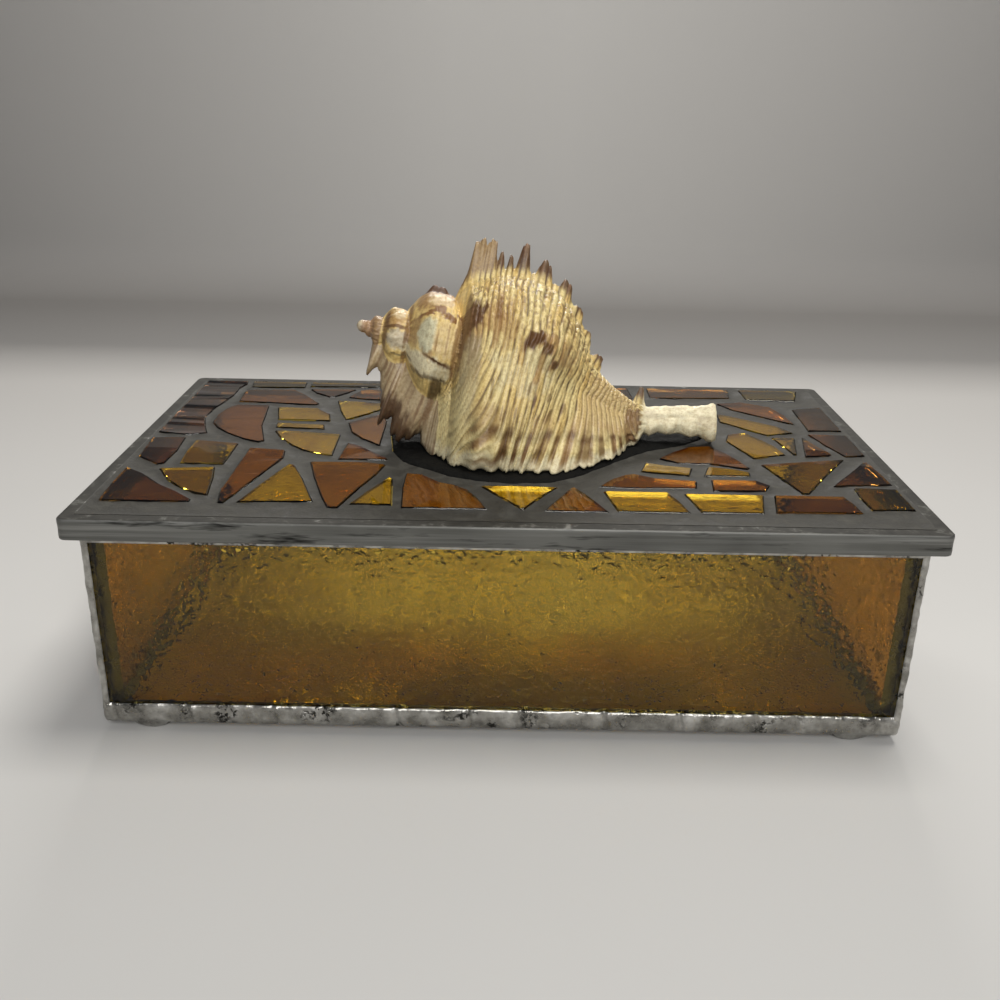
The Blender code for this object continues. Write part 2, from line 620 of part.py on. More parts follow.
def shell_point(place, turn):
    """A point of the shell's skin, in drawn millimetres over the lid, never under the bed's top."""
    height = smooth_value(SHELL_AXIS, place, 1)
    lean = math.radians(smooth_value(SHELL_AXIS, place, 2))
    radius = shell_radius(place, turn)
    angle = math.radians(turn)
    up, across = math.cos(angle), math.sin(angle)
    base = (SHELL_BASE - LID_TOP) * shell_drawn_length() / SHELL_LENGTH
    fall = -up * math.cos(lean)
    if fall > 0:
        radius = min(radius, (height - base) / fall)
    along = place + radius * up * math.sin(lean) - WEB_LEAN * web_height(place, turn)
    return (along, -radius * across, height - radius * fall)


def shell_places():
    """Rings along the shell, at the foot and tip of every frond, along the web and where the lip starts."""
    keys = [APEX, SHELL_GIRTH[-1][0], SHELL_LIP[0][0] - RING_SPACE - FIT, SHELL_LIP[0][0]]
    keys += [place for place, tall in SPIRE_WEB]
    for middle, half in [frond[:2] for frond in FRONDS]:
        keys += [middle - half, middle - BLADE_FLAT * half, middle + BLADE_FLAT * half, middle + half]
    places = [APEX]
    for key in sorted(keys):
        gap = key - places[-1]
        steps = max(math.ceil(gap / RING_STEP), 1)
        if gap > RING_SPACE:
            places += [places[-1] + gap / steps * (step + 1) for step in range(steps)]
    return places


def shell_turns(place):
    """Places round a ring, closer together at the varix. One of them keeps to the lip's edge."""
    turns = [LIP_MIDDLE + TURN_STEP * k for k in range(-10, 20)]
    turns += [VARIX_TURN + step for step in (-VARIX_HALF_WIDTH, 0.0, VARIX_HALF_WIDTH)]
    edge_shift = smooth_value(SHELL_LIP, place, 1) - LIP_MIDDLE
    shifted = []
    for turn in sorted(turns):
        if LIP_START < turn <= LIP_MIDDLE:
            turn += edge_shift * (turn - LIP_START) / (LIP_MIDDLE - LIP_START)
        elif LIP_MIDDLE < turn < LIP_END:
            turn += edge_shift * (LIP_END - turn) / (LIP_END - LIP_MIDDLE)
        shifted.append(turn)
    return shifted


def build_shell():
    scale = SHELL_LENGTH / shell_drawn_length()
    rings = []
    for place in shell_places():
        ring = [shell_point(place, turn) for turn in shell_turns(place)]
        rings.append([(x * scale, SHELL_BACK + y * scale, LID_TOP + z * scale) for x, y, z in ring])
    shell = loft("murex_shell", rings, shell_material())
    shell.data.shade_smooth()
    shell.data.set_sharp_from_angle(angle=math.radians(50))


def main():
    clear_scene()
    build_walls()
    build_solder()
    build_came()
    build_lid_pane()
    build_mosaic()
    build_shell()


main()
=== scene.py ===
"""Looks of the stained glass box: hammered amber panes, solder, a mosaic lid and a murex shell on top.

Lengths are metres, except on the shell, which is worked out in millimetres as its solid is.
"""

import json
import math
import random

import bpy
import numpy as np
from mathutils import Matrix, Vector, noise
from mathutils.geometry import delaunay_2d_cdt


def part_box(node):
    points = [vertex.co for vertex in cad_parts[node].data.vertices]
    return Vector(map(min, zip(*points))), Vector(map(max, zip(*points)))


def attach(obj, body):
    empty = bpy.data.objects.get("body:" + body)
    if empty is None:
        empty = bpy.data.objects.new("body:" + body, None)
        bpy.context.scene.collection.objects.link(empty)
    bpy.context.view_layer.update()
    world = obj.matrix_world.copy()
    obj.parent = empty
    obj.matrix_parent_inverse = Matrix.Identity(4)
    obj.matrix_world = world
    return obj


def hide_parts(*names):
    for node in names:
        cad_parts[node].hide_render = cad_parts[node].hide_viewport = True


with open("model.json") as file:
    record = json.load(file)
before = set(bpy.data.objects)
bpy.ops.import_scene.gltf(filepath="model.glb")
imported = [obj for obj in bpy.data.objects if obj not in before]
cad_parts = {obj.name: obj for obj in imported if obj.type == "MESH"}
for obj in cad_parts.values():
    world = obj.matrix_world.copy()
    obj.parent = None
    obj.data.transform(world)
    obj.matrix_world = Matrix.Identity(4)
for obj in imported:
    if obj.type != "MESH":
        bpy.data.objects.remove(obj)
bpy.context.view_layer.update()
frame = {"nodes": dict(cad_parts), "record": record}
random.seed(11)

MM = 0.001
LID_LOW, LID_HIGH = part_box("lid_came")
LID_TOP = LID_HIGH.z
GLASS_LOW, GLASS_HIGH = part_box("floor_pane")
WALL_LOW, WALL_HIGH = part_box("wall_front")
SOLDER_LOW, SOLDER_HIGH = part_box("solder_frame")
HALF_LENGTH = GLASS_HIGH.x
HALF_DEPTH = GLASS_HIGH.y

# Camera of the photograph
CAMERA_AT = (-0.00137, -0.34524, 0.18964)
CAMERA_YAW = -0.0011
CAMERA_PITCH = 0.3826
CAMERA_ROLL = 0.0182
CAMERA_LENS = 37.79
CAMERA_SENSOR = 36

# Studio: the floor turns up into a low backdrop. Lamps: name, place, aim, size, watts and colour
FLOOR_FRONT = -1.6
FLOOR_BACK = 0.58
FLOOR_HALF_WIDTH = 2.2
BACKDROP_CURVE = 0.05
BACKDROP_TOP = 0.30
SKY = (0.55, 0.55, 0.57, 1)
SKY_STRENGTH = 0.24
LAMPS = (
    ("ceiling", (0.18, 0.02, 1.00), (0, 0, 0.05), (0.35, 0.35), 5.2, (1.0, 0.97, 0.92)),
    ("front", (0.10, -0.90, 0.60), (0, 0, 0.05), (0.45, 0.45), 5.2, (1.0, 0.99, 0.97)),
    ("behind", (0.02, 0.95, 0.68), (0, 0, 0.02), (0.60, 0.10), 6.5, (1.0, 0.97, 0.92)),
)

# Glass of the panes: its pale and deep tone, depth of the hammering and the panes cut from it
HAMMERED_IOR = 1.36
HAMMERED = 0.34 * MM
NEARLY_FLAT = 0.08 * MM
PANE_GLASS = (
    ("wall_glass_front", (0.91, 0.78, 0.27), (0.86, 0.70, 0.20), HAMMERED, ("wall_front", "wall_back")),
    # painted shade: the side panes are the same amber glass as the front, given much darker tones
    ("wall_glass_side_shaded", (0.36, 0.165, 0.03), (0.26, 0.11, 0.018), HAMMERED, ("wall_left", "wall_right")),
    ("wall_glass_floor", (0.78, 0.65, 0.20), (0.71, 0.56, 0.14), HAMMERED, ("floor_pane",)),
    ("wall_glass_lid", (0.95, 0.86, 0.50), (0.92, 0.80, 0.42), NEARLY_FLAT, ("lid_pane",)),
)

# Glass of the tiles: its pale and deep tone, stretch of the streaks, size and depth of any strong waves
TILE_IOR = 1.38
TILE_GLASS = {
    "glass_gold": ("gold_tile", (0.68, 0.51, 0.06), (0.54, 0.36, 0.03), (1, 0.5, 1)),
    "glass_amber": ("amber_tile", (0.40, 0.175, 0.020), (0.28, 0.105, 0.012), (0.5, 1, 1)),
    "glass_brown": ("brown_tile", (0.44, 0.22, 0.042), (0.30, 0.135, 0.025), (0.6, 1, 1)),
    "wavy": ("wavy_tile", (0.52, 0.30, 0.17), (0.28, 0.14, 0.08), (0.12, 1, 1), 10 * MM, 1.6 * MM),
}
WAVY_TILE = "tile_16"

# Mosaic
TILE_PLAY = 0.05 * MM
TILE_STEPS = ((0.0, 0.5 * MM), (0.12 * MM, 0.2 * MM), (0.30 * MM, 0.0))
TILE_SPACING = 1.2 * MM
GROUT_FROM_CAME_FACE = 4.4 * MM
GROUT_TO_GLASS = 0.15 * MM
GROUT_HOLLOW = 0.45 * MM
GROUT_SPACING = 1.5 * MM
BED_SPACING = 1.1 * MM

# Solder
CORNER_STEPS = 6
SIDE_RUN = 0.5
SEAM_LEVELS = 64
FOOT_FROM_END = 13 * MM
FOOT_FROM_FACE = 3.6 * MM
FOOT_HALF_LENGTH = 7 * MM
FOOT_HALF_DEPTH = 4 * MM
FOOT_TOP = 3.4 * MM
FOOT_SIDES = 32


# Meshes

def mesh_object(name, points, faces, surface, smooth=True):
    mesh = bpy.data.meshes.new(name)
    mesh.from_pydata([tuple(point) for point in points], [], faces)
    mesh.materials.append(surface)
    made = bpy.data.objects.new(name, mesh)
    bpy.context.scene.collection.objects.link(made)
    if smooth:
        mesh.shade_smooth()
    return made


def grid_faces(rows, columns, wrap_rows=False):
    """Quads of a grid of points that wraps round along its columns."""
    faces = []
    for i in range(rows if wrap_rows else rows - 1):
        k = (i + 1) % rows
        for j in range(columns):
            m = (j + 1) % columns
            faces.append((i * columns + j, i * columns + m, k * columns + m, k * columns + j))
    return faces


def closed_rings(rings):
    """Points and faces of a run of rings with both its ends closed."""
    points = [point for ring in rings for point in ring]
    count = len(rings[0])
    faces = grid_faces(len(rings), count)
    return points, faces + [tuple(reversed(range(count))), tuple(range(len(points) - count, len(points)))]


def sides_of(points):
    """Each point of an outline with the next one."""
    return zip(points, points[1:] + points[:1])


def stack(parts):
    """Join lists of points and faces into one."""
    points, faces = [], []
    for more_points, more_faces in parts:
        start = len(points)
        points += [tuple(point) for point in more_points]
        faces += [tuple(index + start for index in face) for face in more_faces]
    return points, faces


def grain(point, size, seed=0.0):
    """Smooth noise between about minus one and one, with lumps of the given size."""
    return noise.noise((point[0] / size + seed, point[1] / size - seed, point[2] / size + 2 * seed))


def outline_walk(half_length, half_depth, radius, spacing, nominal):
    """Points round a rounded rectangle, as many for every offset of the same nominal rectangle."""
    radius = max(radius, 0.0)

    def at(quarter, share):
        side_x, side_y = ((1, 1), (-1, 1), (-1, -1), (1, -1))[quarter % 4]
        turn = math.radians(90 * (quarter + share))
        return (side_x * (half_length - radius) + radius * math.cos(turn),
                side_y * (half_depth - radius) + radius * math.sin(turn))

    points = []
    for quarter in range(4):
        points += [at(quarter, step / CORNER_STEPS) for step in range(CORNER_STEPS + 1)]
        (ax, ay), (bx, by) = points[-1], at(quarter + 1, 0)
        count = round(2 * nominal[quarter % 2] / spacing)
        points += [(ax + (bx - ax) * step / count, ay + (by - ay) * step / count) for step in range(1, count)]
    return points


def ring_sweep(half_length, half_depth, corner, section, spacing, lumps):
    """Sweep a closed section of (out, height, share of lumps) round a rectangle."""
    nominal = (half_length, half_depth)
    points = []
    for out, height, share in section:
        here, wider = (outline_walk(half_length + reach, half_depth + reach, corner + reach, spacing, nominal)
                       for reach in (out, out + MM))
        for (x, y), (wx, wy) in zip(here, wider):
            shift = share * lumps((x, y, height)) if share else 0.0
            points.append((x + (wx - x) / MM * shift, y + (wy - y) / MM * shift, height + shift * 0.3))
    return points, grid_faces(len(section), len(points) // len(section), wrap_rows=True)


def in_metres(rows):
    """A section from rows of millimetres out, level, millimetres over the level and share of lumps."""
    return [(out * MM, level + over * MM, share) for out, level, over, share in rows]


# Materials

class Recipe:
    """A procedural material: a Principled shader and the textures that feed it."""

    def __init__(self, name, **values):
        self.material = bpy.data.materials.new(name)
        self.material.use_nodes = True
        self.tree = self.material.node_tree
        self.shader = self.tree.nodes["Principled BSDF"]
        for key, value in values.items():
            self.shader.inputs[key.replace("_", " ")].default_value = value
        self.normal = None

    def put(self, socket, value):
        """Link an output to a socket, or write a plain value there."""
        if isinstance(value, bpy.types.NodeSocket):
            self.tree.links.new(value, socket)
        else:
            socket.default_value = value

    def node(self, kind, inputs=None, **settings):
        made = self.tree.nodes.new("ShaderNode" + kind)
        for key, value in settings.items():
            setattr(made, key, value)
        for key, value in (inputs or {}).items():
            self.put(made.inputs[key], value)
        return made

    def place(self, stretch):
        coordinates = self.node("TexCoord").outputs["Object"]
        return self.node("Mapping", {"Vector": coordinates, "Scale": stretch}).outputs[0]

    def noise(self, size, detail=2.0, roughness=0.5, distortion=0.0, stretch=(1, 1, 1)):
        """Noise with lumps of that size in metres, longer along an axis where stretch is under one."""
        return self.node("TexNoise", {"Vector": self.place(stretch), "Scale": 1 / size, "Detail": detail,
                                      "Roughness": roughness, "Distortion": distortion}).outputs["Fac"]

    def ramp(self, value, stops):
        made = self.node("ValToRGB", {"Fac": value})
        elements = made.color_ramp.elements
        while len(elements) < len(stops):
            elements.new(0.5)
        for element, (position, color) in zip(elements, stops):
            element.position = position
            element.color = (*color, 1.0)
        return made.outputs["Color"]

    def level(self, value, low, high, start=0.0, end=1.0):
        return self.node("MapRange", {"Value": value, "From Min": low, "From Max": high, "To Min": start,
                                      "To Max": end}).outputs["Result"]

    def mix(self, share, a, b, how="MIX"):
        made = self.node("Mix", data_type="RGBA", blend_type=how)
        for index, value in ((0, share), (6, a), (7, b)):
            self.put(made.inputs[index], (*value, 1.0) if isinstance(value, tuple) else value)
        return made.outputs[2]

    def math(self, how, a, b=0.0):
        made = self.node("Math", operation=how)
        for socket, value in zip(made.inputs, (a, b)):
            self.put(socket, value)
        return made.outputs[0]

    def parts_of(self, vector):
        return self.node("SeparateXYZ", {"Vector": vector}).outputs

    def feed(self, key, value):
        self.tree.links.new(value, self.shader.inputs[key])

    def bump(self, height, distance):
        inputs = {"Height": height, "Distance": distance}
        if self.normal:
            inputs["Normal"] = self.normal
        self.normal = self.node("Bump", inputs).outputs[0]
        self.feed("Normal", self.normal)


def hammered_glass(name, pale, deep, depth):
    """See-through glass with a hammered face, creased like crepe."""
    made = Recipe(name, Roughness=0.02, Transmission_Weight=1.0, IOR=HAMMERED_IOR)
    made.feed("Base Color", made.ramp(made.noise(0.05, 1.0), [(0.3, deep), (0.7, pale)]))
    lumps = made.noise(0.0022, 0.0, distortion=0.5)
    crease = made.math("ABSOLUTE", made.math("SUBTRACT", made.noise(0.0045, 0.3, distortion=0.5), 0.5))
    made.bump(lumps, depth)
    made.bump(made.level(crease, 0.0, 0.22), 0.22 * depth)
    return made.material


def tile_glass(name, pale, deep, streak, size=12 * MM, depth=0.16 * MM):
    """See-through glass with faint streaks and a wavy face."""
    made = Recipe(name, Roughness=0.03, Transmission_Weight=1.0, IOR=TILE_IOR)
    swirl = made.noise(0.018, 3.0, distortion=1.5, stretch=streak)
    made.feed("Base Color", made.ramp(swirl, [(0.25, deep), (0.65, pale)]))
    made.bump(made.noise(size, 0.5, distortion=0.6, stretch=streak), depth)
    return made.material


def solder_metal():
    """Bright mottled solder with clusters of pits, much darker where it faces the inside of the box."""
    made = Recipe("bright_solder", Metallic=0.95, Roughness=0.3)
    mottle = made.noise(0.006, 4.0, 0.6)
    tones = [(0.27, (0.13, 0.125, 0.11)), (0.5, (0.33, 0.32, 0.295)), (0.72, (0.58, 0.57, 0.54))]
    base = made.ramp(mottle, tones)
    pits = made.noise(0.0013, 2.0, 0.6, distortion=0.4)
    patch = made.noise(0.010, 2.0, 0.6)
    pitted = made.math("MULTIPLY", made.level(pits, 0.50, 0.57), made.level(patch, 0.55, 0.63))
    place = made.parts_of(made.place((1, 1, 1)))
    along, across = (made.level(made.math("ABSOLUTE", place[axis]), half - 1.6 * MM, half - 1.4 * MM)
                     for axis, half in (("X", HALF_LENGTH), ("Y", HALF_DEPTH)))
    outside = made.math("MAXIMUM", along, across)
    # the parts inside the box are given a much darker colour
    base = made.mix(outside, (0.075, 0.072, 0.050), base)
    made.feed("Base Color", made.mix(pitted, base, (0.035, 0.034, 0.030)))
    made.feed("Roughness", made.level(mottle, 0.3, 0.7, 0.20, 0.42))
    made.bump(made.noise(0.0022, 3.0, 0.6), 0.0003)
    made.bump(made.math("MULTIPLY", pitted, -1.0), 0.0002)
    return made.material


def came_metal():
    """Grey channel metal, drawn lengthways and scuffed, with grout smeared over its top."""
    made = Recipe("drawn_came", Metallic=0.75, Roughness=0.48)
    streak = made.noise(0.0011, 3.0, 0.6, stretch=(0.02, 0.02, 1.0))
    broad = made.noise(0.0045, 2.0, 0.5, stretch=(0.05, 0.05, 1.0))
    cloud = made.noise(0.05, 3.0, 0.6)
    fine = made.ramp(streak, [(0.30, (0.050, 0.051, 0.048)), (0.5, (0.135, 0.136, 0.128)),
                              (0.72, (0.30, 0.30, 0.285))])
    tone = made.mix(made.level(broad, 0.42, 0.62, 0.0, 0.75), fine, (0.085, 0.084, 0.076))
    tone = made.mix(made.level(cloud, 0.35, 0.65, 0.0, 0.6), tone, (0.20, 0.20, 0.185))
    scuff = made.noise(0.004, 4.0, 0.7, stretch=(0.12, 0.5, 1.0))
    tone = made.mix(made.level(scuff, 0.56, 0.68), tone, (0.018, 0.018, 0.016))
    up = made.parts_of(made.node("NewGeometry").outputs["Normal"])["Z"]
    smear = made.noise(0.005, 4.0, 0.65, distortion=0.5)
    cement = made.ramp(smear, [(0.3, (0.018, 0.017, 0.014)), (0.55, (0.036, 0.034, 0.028)),
                               (0.8, (0.10, 0.097, 0.082))])
    laid = made.math("MULTIPLY", made.level(up, 0.80, 0.97), made.level(smear, 0.68, 0.58, 0.55, 1.0))
    made.feed("Base Color", made.mix(laid, tone, cement))
    made.feed("Metallic", made.level(laid, 0.2, 0.8, 0.75, 0.1))
    made.feed("Roughness", made.math("MAXIMUM", made.level(streak, 0.2, 0.8, 0.36, 0.56),
                                     made.level(laid, 0.2, 0.8, 0.0, 0.78)))
    made.bump(streak, 0.00009)
    made.bump(scuff, 0.00010)
    return made.material


def grout_stone():
    """Dark sandy grout with paler smears."""
    made = Recipe("dark_grout", Roughness=0.82, Metallic=0.1)
    sand = made.noise(0.0007, 3.0, 0.7)
    smear = made.noise(0.006, 4.0, 0.6, distortion=0.5)
    tone = made.ramp(smear, [(0.28, (0.016, 0.015, 0.012)), (0.5, (0.033, 0.031, 0.025)),
                             (0.78, (0.090, 0.087, 0.074))])
    made.feed("Base Color", made.mix(made.level(sand, 0.40, 0.80, 0.0, 0.7), tone, (0.058, 0.055, 0.046)))
    made.feed("Roughness", made.level(smear, 0.3, 0.7, 0.62, 0.9))
    made.bump(sand, 0.00010)
    made.bump(smear, 0.0003)
    return made.material


def adhesive_rubber():
    made = Recipe("black_adhesive", Roughness=0.8, Specular_IOR_Level=0.12)
    lumps = made.noise(0.0024, 4.0, 0.7)
    made.feed("Base Color", made.ramp(lumps, [(0.3, (0.002, 0.002, 0.002)), (0.7, (0.009, 0.009, 0.008))]))
    made.feed("Roughness", made.level(lumps, 0.3, 0.7, 0.62, 0.9))
    made.bump(lumps, 0.0006)
    return made.material


def shell_surface():
    """Shell: the tone drawn on its points, painted shade and a painted highlight included, with a fine grain
    and a slight polish.
    """
    made = Recipe("murex", Roughness=0.42, Coat_Weight=0.08, Coat_Roughness=0.2)
    tone = made.node("Attribute", attribute_name="tone").outputs["Color"]
    speck = made.noise(0.0010, 4.0, 0.65)
    shade = made.ramp(speck, [(0.34, (0.50, 0.38, 0.25)), (0.58, (1, 1, 1))])
    made.feed("Base Color", made.mix(0.5, tone, shade, "MULTIPLY"))
    made.feed("Roughness", made.level(speck, 0.3, 0.7, 0.32, 0.55))
    made.bump(speck, 0.00015)
    return made.material


# Lid

def node_outline(name):
    """The outline of a flat piece, from its solid's top face."""
    mesh = frame["nodes"][name].data
    top = max(vertex.co.z for vertex in mesh.vertices)
    edges = {}
    for face in mesh.polygons:
        corners = [mesh.vertices[index].co for index in face.vertices]
        if all(corner.z > top - 1e-6 for corner in corners):
            edges.update(dict.fromkeys(sides_of([(round(c.x, 6), round(c.y, 6)) for c in corners])))
    rim = {a: b for a, b in edges if (b, a) not in edges}
    start = next(iter(rim))
    outline = [start]
    while rim[outline[-1]] != start:
        outline.append(rim[outline[-1]])
    return outline


def shrink(points, distance):
    """Move every side of an outline inwards by the same distance."""
    area = sum(a[0] * b[1] - b[0] * a[1] for a, b in sides_of(points))
    side = 1 if area > 0 else -1
    moved = []
    for i, corner in enumerate(points):
        before, after = points[i - 1], points[(i + 1) % len(points)]
        normals = []
        for a, b in ((before, corner), (corner, after)):
            length = math.dist(a, b)
            normals.append((side * (b[1] - a[1]) / length, side * (a[0] - b[0]) / length))
        (ax, ay), (bx, by) = normals
        share = -distance / max(1 + ax * bx + ay * by, 0.35)
        moved.append((corner[0] + share * (ax + bx), corner[1] + share * (ay + by)))
    return moved


def divided(points, spacing):
    """The same outline with its sides cut into short ones."""
    fine = []
    for a, b in sides_of(points):
        count = max(round(math.dist(a, b) / spacing), 1)
        fine += [(a[0] + (b[0] - a[0]) * k / count, a[1] + (b[1] - a[1]) * k / count) for k in range(count)]
    return fine


def build_tile(name, surface):
    """A cut tile with a worn top edge."""
    low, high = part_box(name)
    outline = node_outline(name)
    levels = [(0.0, low.z)] + [(inset, high.z - depth) for inset, depth in TILE_STEPS]
    rings = [[(x, y, height) for x, y in divided(shrink(outline, inset + TILE_PLAY), TILE_SPACING)]
             for inset, height in levels]
    if len({len(ring) for ring in rings}) > 1:
        rings = [[(x, y, height) for x, y in shrink(outline, inset)] for inset, height in levels]
    made = mesh_object(name + "_cut", *closed_rings(rings), surface, smooth=False)
    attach(made, "root")
    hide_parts(name)
    return made


def inside(points, outline):
    """Which of the points, an array, lie inside an outline."""
    found = np.zeros(len(points), bool)
    x, y = points[:, 0], points[:, 1]
    for (ax, ay), (bx, by) in sides_of(outline):
        if ay != by:
            crosses = ((ay > y) != (by > y)) & (x < (bx - ax) * (y - ay) / (by - ay) + ax)
            found ^= crosses
    return found


def distance_to(points, outline):
    """How far each of the points, an array, is from an outline."""
    best = np.full(len(points), 1e9)
    for a, b in sides_of(outline):
        a, b = np.array(a), np.array(b)
        run = b - a
        share = np.clip(((points - a) @ run) / (run @ run), 0, 1)
        best = np.minimum(best, np.hypot(*(points - a - share[:, None] * run).T))
    return best


def within(points, outer, holes):
    """Which of the points, an array, lie inside the outer outline and in no hole."""
    found = inside(points, outer)
    for hole in holes:
        found &= ~inside(points, hole)
    return found


def field_mesh(outer, holes, spacing):
    """Fine triangles over an outline with holes in it."""
    outlines = [outer] + holes
    rings = [divided(outline, spacing) for outline in outlines]
    xs, ys = zip(*outer)
    grid = []
    for i in range(int((max(xs) - min(xs)) / spacing)):
        for k in range(int((max(ys) - min(ys)) / spacing)):
            grid.append((min(xs) + spacing * (i + 0.5 + 0.3 * random.uniform(-1, 1)),
                         min(ys) + spacing * (k + 0.5 + 0.3 * random.uniform(-1, 1))))
    grid = np.array(grid)
    kept = within(grid, outer, holes)
    for outline in outlines:
        kept &= distance_to(grid, outline) > 0.5 * spacing
    points = [point for ring in rings for point in ring] + [tuple(point) for point in grid[kept]]
    edges = []
    start = 0
    for ring in rings:
        edges += [(start + k, start + (k + 1) % len(ring)) for k in range(len(ring))]
        start += len(ring)
    flat, _, faces, *_ = delaunay_2d_cdt([Vector(point) for point in points], edges, [], 0, 1e-7)
    flat = np.array([tuple(point) for point in flat])
    middles = np.array([flat[list(face)].mean(axis=0) for face in faces])
    faces = [tuple(face) for face, ok in zip(faces, within(middles, outer, holes)) if ok]
    faces = [(a, b, c) if np.cross(flat[b] - flat[a], flat[c] - flat[a]) > 0 else (c, b, a)
             for a, b, c in faces]
    used = sorted({index for face in faces for index in face})
    renumbered = {old: new for new, old in enumerate(used)}
    return flat[used], [tuple(renumbered[index] for index in face) for face in faces]


def closed_field(flat, faces, heights, bottoms):
    """Give a field of triangles its heights, an underside and sides."""
    count = len(flat)
    points = [(x, y, z) for (x, y), z in zip(flat, heights)] + [(x, y, z) for (x, y), z in zip(flat, bottoms)]
    edges = {side for face in faces for side in sides_of(face)}
    solid = list(faces) + [tuple(index + count for index in reversed(face)) for face in faces]
    solid += [(b, a, a + count, b + count) for a, b in edges if (b, a) not in edges]
    return points, solid


def build_grout(outlines, bed):
    """Grout smeared between the tiles: hollowed along its middle, drawn up the glass and rough."""
    low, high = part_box("grout")
    half_x, half_y = LID_HIGH.x - GROUT_FROM_CAME_FACE, LID_HIGH.y - GROUT_FROM_CAME_FACE
    outer = [(half_x, half_y), (-half_x, half_y), (-half_x, -half_y), (half_x, -half_y)]
    holes = [shrink(outline, -GROUT_TO_GLASS) for outline in outlines + [bed]]
    flat, faces = field_mesh(outer, holes, GROUT_SPACING)
    near = np.full(len(flat), 1e9)
    for hole in holes:
        near = np.minimum(near, distance_to(flat, hole))
    rim = distance_to(flat, outer)
    heights, bottoms = [], []
    for (x, y), edge, border in zip(flat, near, rim):
        hollow = GROUT_HOLLOW * min(edge / (1.6 * MM), 1.0) * min(border / (3 * MM), 1.0)
        lumps = 0.16 * MM * grain((x, y, 0), 3.0 * MM) + 0.10 * MM * grain((x, y, 0), 1.1 * MM, 4.0)
        drawn = 0.22 * MM * grain((x, y, 0), 7.0 * MM, 9.0) * max(1 - edge / MM, 0)
        over = max(1 - border / (1.2 * MM), 0)
        heights.append(high.z - 0.1 * MM - hollow + (1 - over) * (lumps + drawn) + 0.14 * MM * over)
        bottoms.append(LID_TOP - 0.3 * MM if border < 0.01 * MM else low.z)
    points, solid = closed_field(flat, faces, heights, bottoms)
    made = mesh_object("grout_web", points, solid, grout_stone())
    made.data.set_sharp_from_angle(angle=math.radians(50))
    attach(made, "root")
    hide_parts("grout")
    return made


def build_bed(outline):
    """Black adhesive, heaped and torn."""
    low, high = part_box("shell_bed")
    flat, faces = field_mesh(shrink(outline, 0.1 * MM), [], BED_SPACING)
    edge = distance_to(flat, outline)
    heights = []
    for (x, y), near in zip(flat, edge):
        lumps = 0.55 * grain((x, y, 0), 3.2 * MM, 2.0) + 0.4 * grain((x, y, 0), 1.3 * MM, 5.0)
        heights.append(high.z - 0.9 * MM * max(1 - near / (2.5 * MM), 0) + 0.55 * MM * lumps)
    points, solid = closed_field(flat, faces, heights, [low.z] * len(flat))
    made = mesh_object("adhesive_bed", points, solid, adhesive_rubber())
    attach(made, "root")
    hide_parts("shell_bed")
    return made


def build_lid_came():
    """The metal channel round the lid, with a rolled edge and slight dents."""
    low, top = LID_LOW.z, LID_TOP
    section = in_metres([
        (-4.5, top, -0.6, 0), (-1.2, top, -0.6, 0), (-1.2, low, 0.6, 0), (-7.5, low, 0.6, 0),
        (-7.5, low, 0, 0), (-0.6, low, 0, 0), (-0.3, low, 0.06, 0), (-0.1, low, 0.25, 0),
        (-0.02, low, 0.5, 1), (0, low, 1.5, 1), (-0.06, low, 2.6, 1), (-0.08, low, 3.4, 1),
        (-0.04, top, -2, 1), (0, top, -1, 1), (-0.04, top, -0.6, 1), (-0.16, top, -0.3, 0),
        (-0.4, top, -0.1, 0), (-0.75, top, -0.02, 0), (-1.3, top, 0, 1), (-2.4, top, -0.06, 1),
        (-3.6, top, -0.05, 1), (-4.3, top, -0.1, 0), (-4.6, top, -0.4, 0)])

    def dents(point):
        return 0.06 * MM * (grain(point, 22 * MM) - 0.6) + 0.03 * MM * (grain(point, 4 * MM, 3.0) - 0.6)

    points, faces = ring_sweep(LID_HIGH.x, LID_HIGH.y, 2.6 * MM, section, 1.6 * MM, dents)
    made = mesh_object("came_channel", points, faces, came_metal())
    made.data.set_sharp_from_angle(angle=math.radians(60))
    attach(made, "root")
    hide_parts("lid_came")
    return made


# Solder

def bead_lumps(point):
    """Swells, wrinkles and ripple joints along a bead."""
    lump = 0.36 * MM * grain(point, 9 * MM) + 0.26 * MM * grain(point, 2.4 * MM, 3.0)
    run = point[0] if abs(point[1]) > HALF_DEPTH - 2 * MM else point[1] + SIDE_RUN
    for joint in JOINTS:
        away = (run - joint + 0.25 * (point[2] - 0.006)) / (0.55 * MM)
        if abs(away) < 5:
            lump += MM * (0.32 * math.exp(-(away - 2) ** 2 / 2) - 0.60 * math.exp(-away * away))
    return lump


def joints_along(middle, half, count):
    """Places on a bead where one pour of solder meets the next."""
    return [middle - half + 2 * half * (k + random.uniform(-0.3, 0.3)) / count for k in range(count + 1)]


JOINTS = joints_along(0, 118 * MM, 11) + joints_along(SIDE_RUN, 66 * MM, 6)


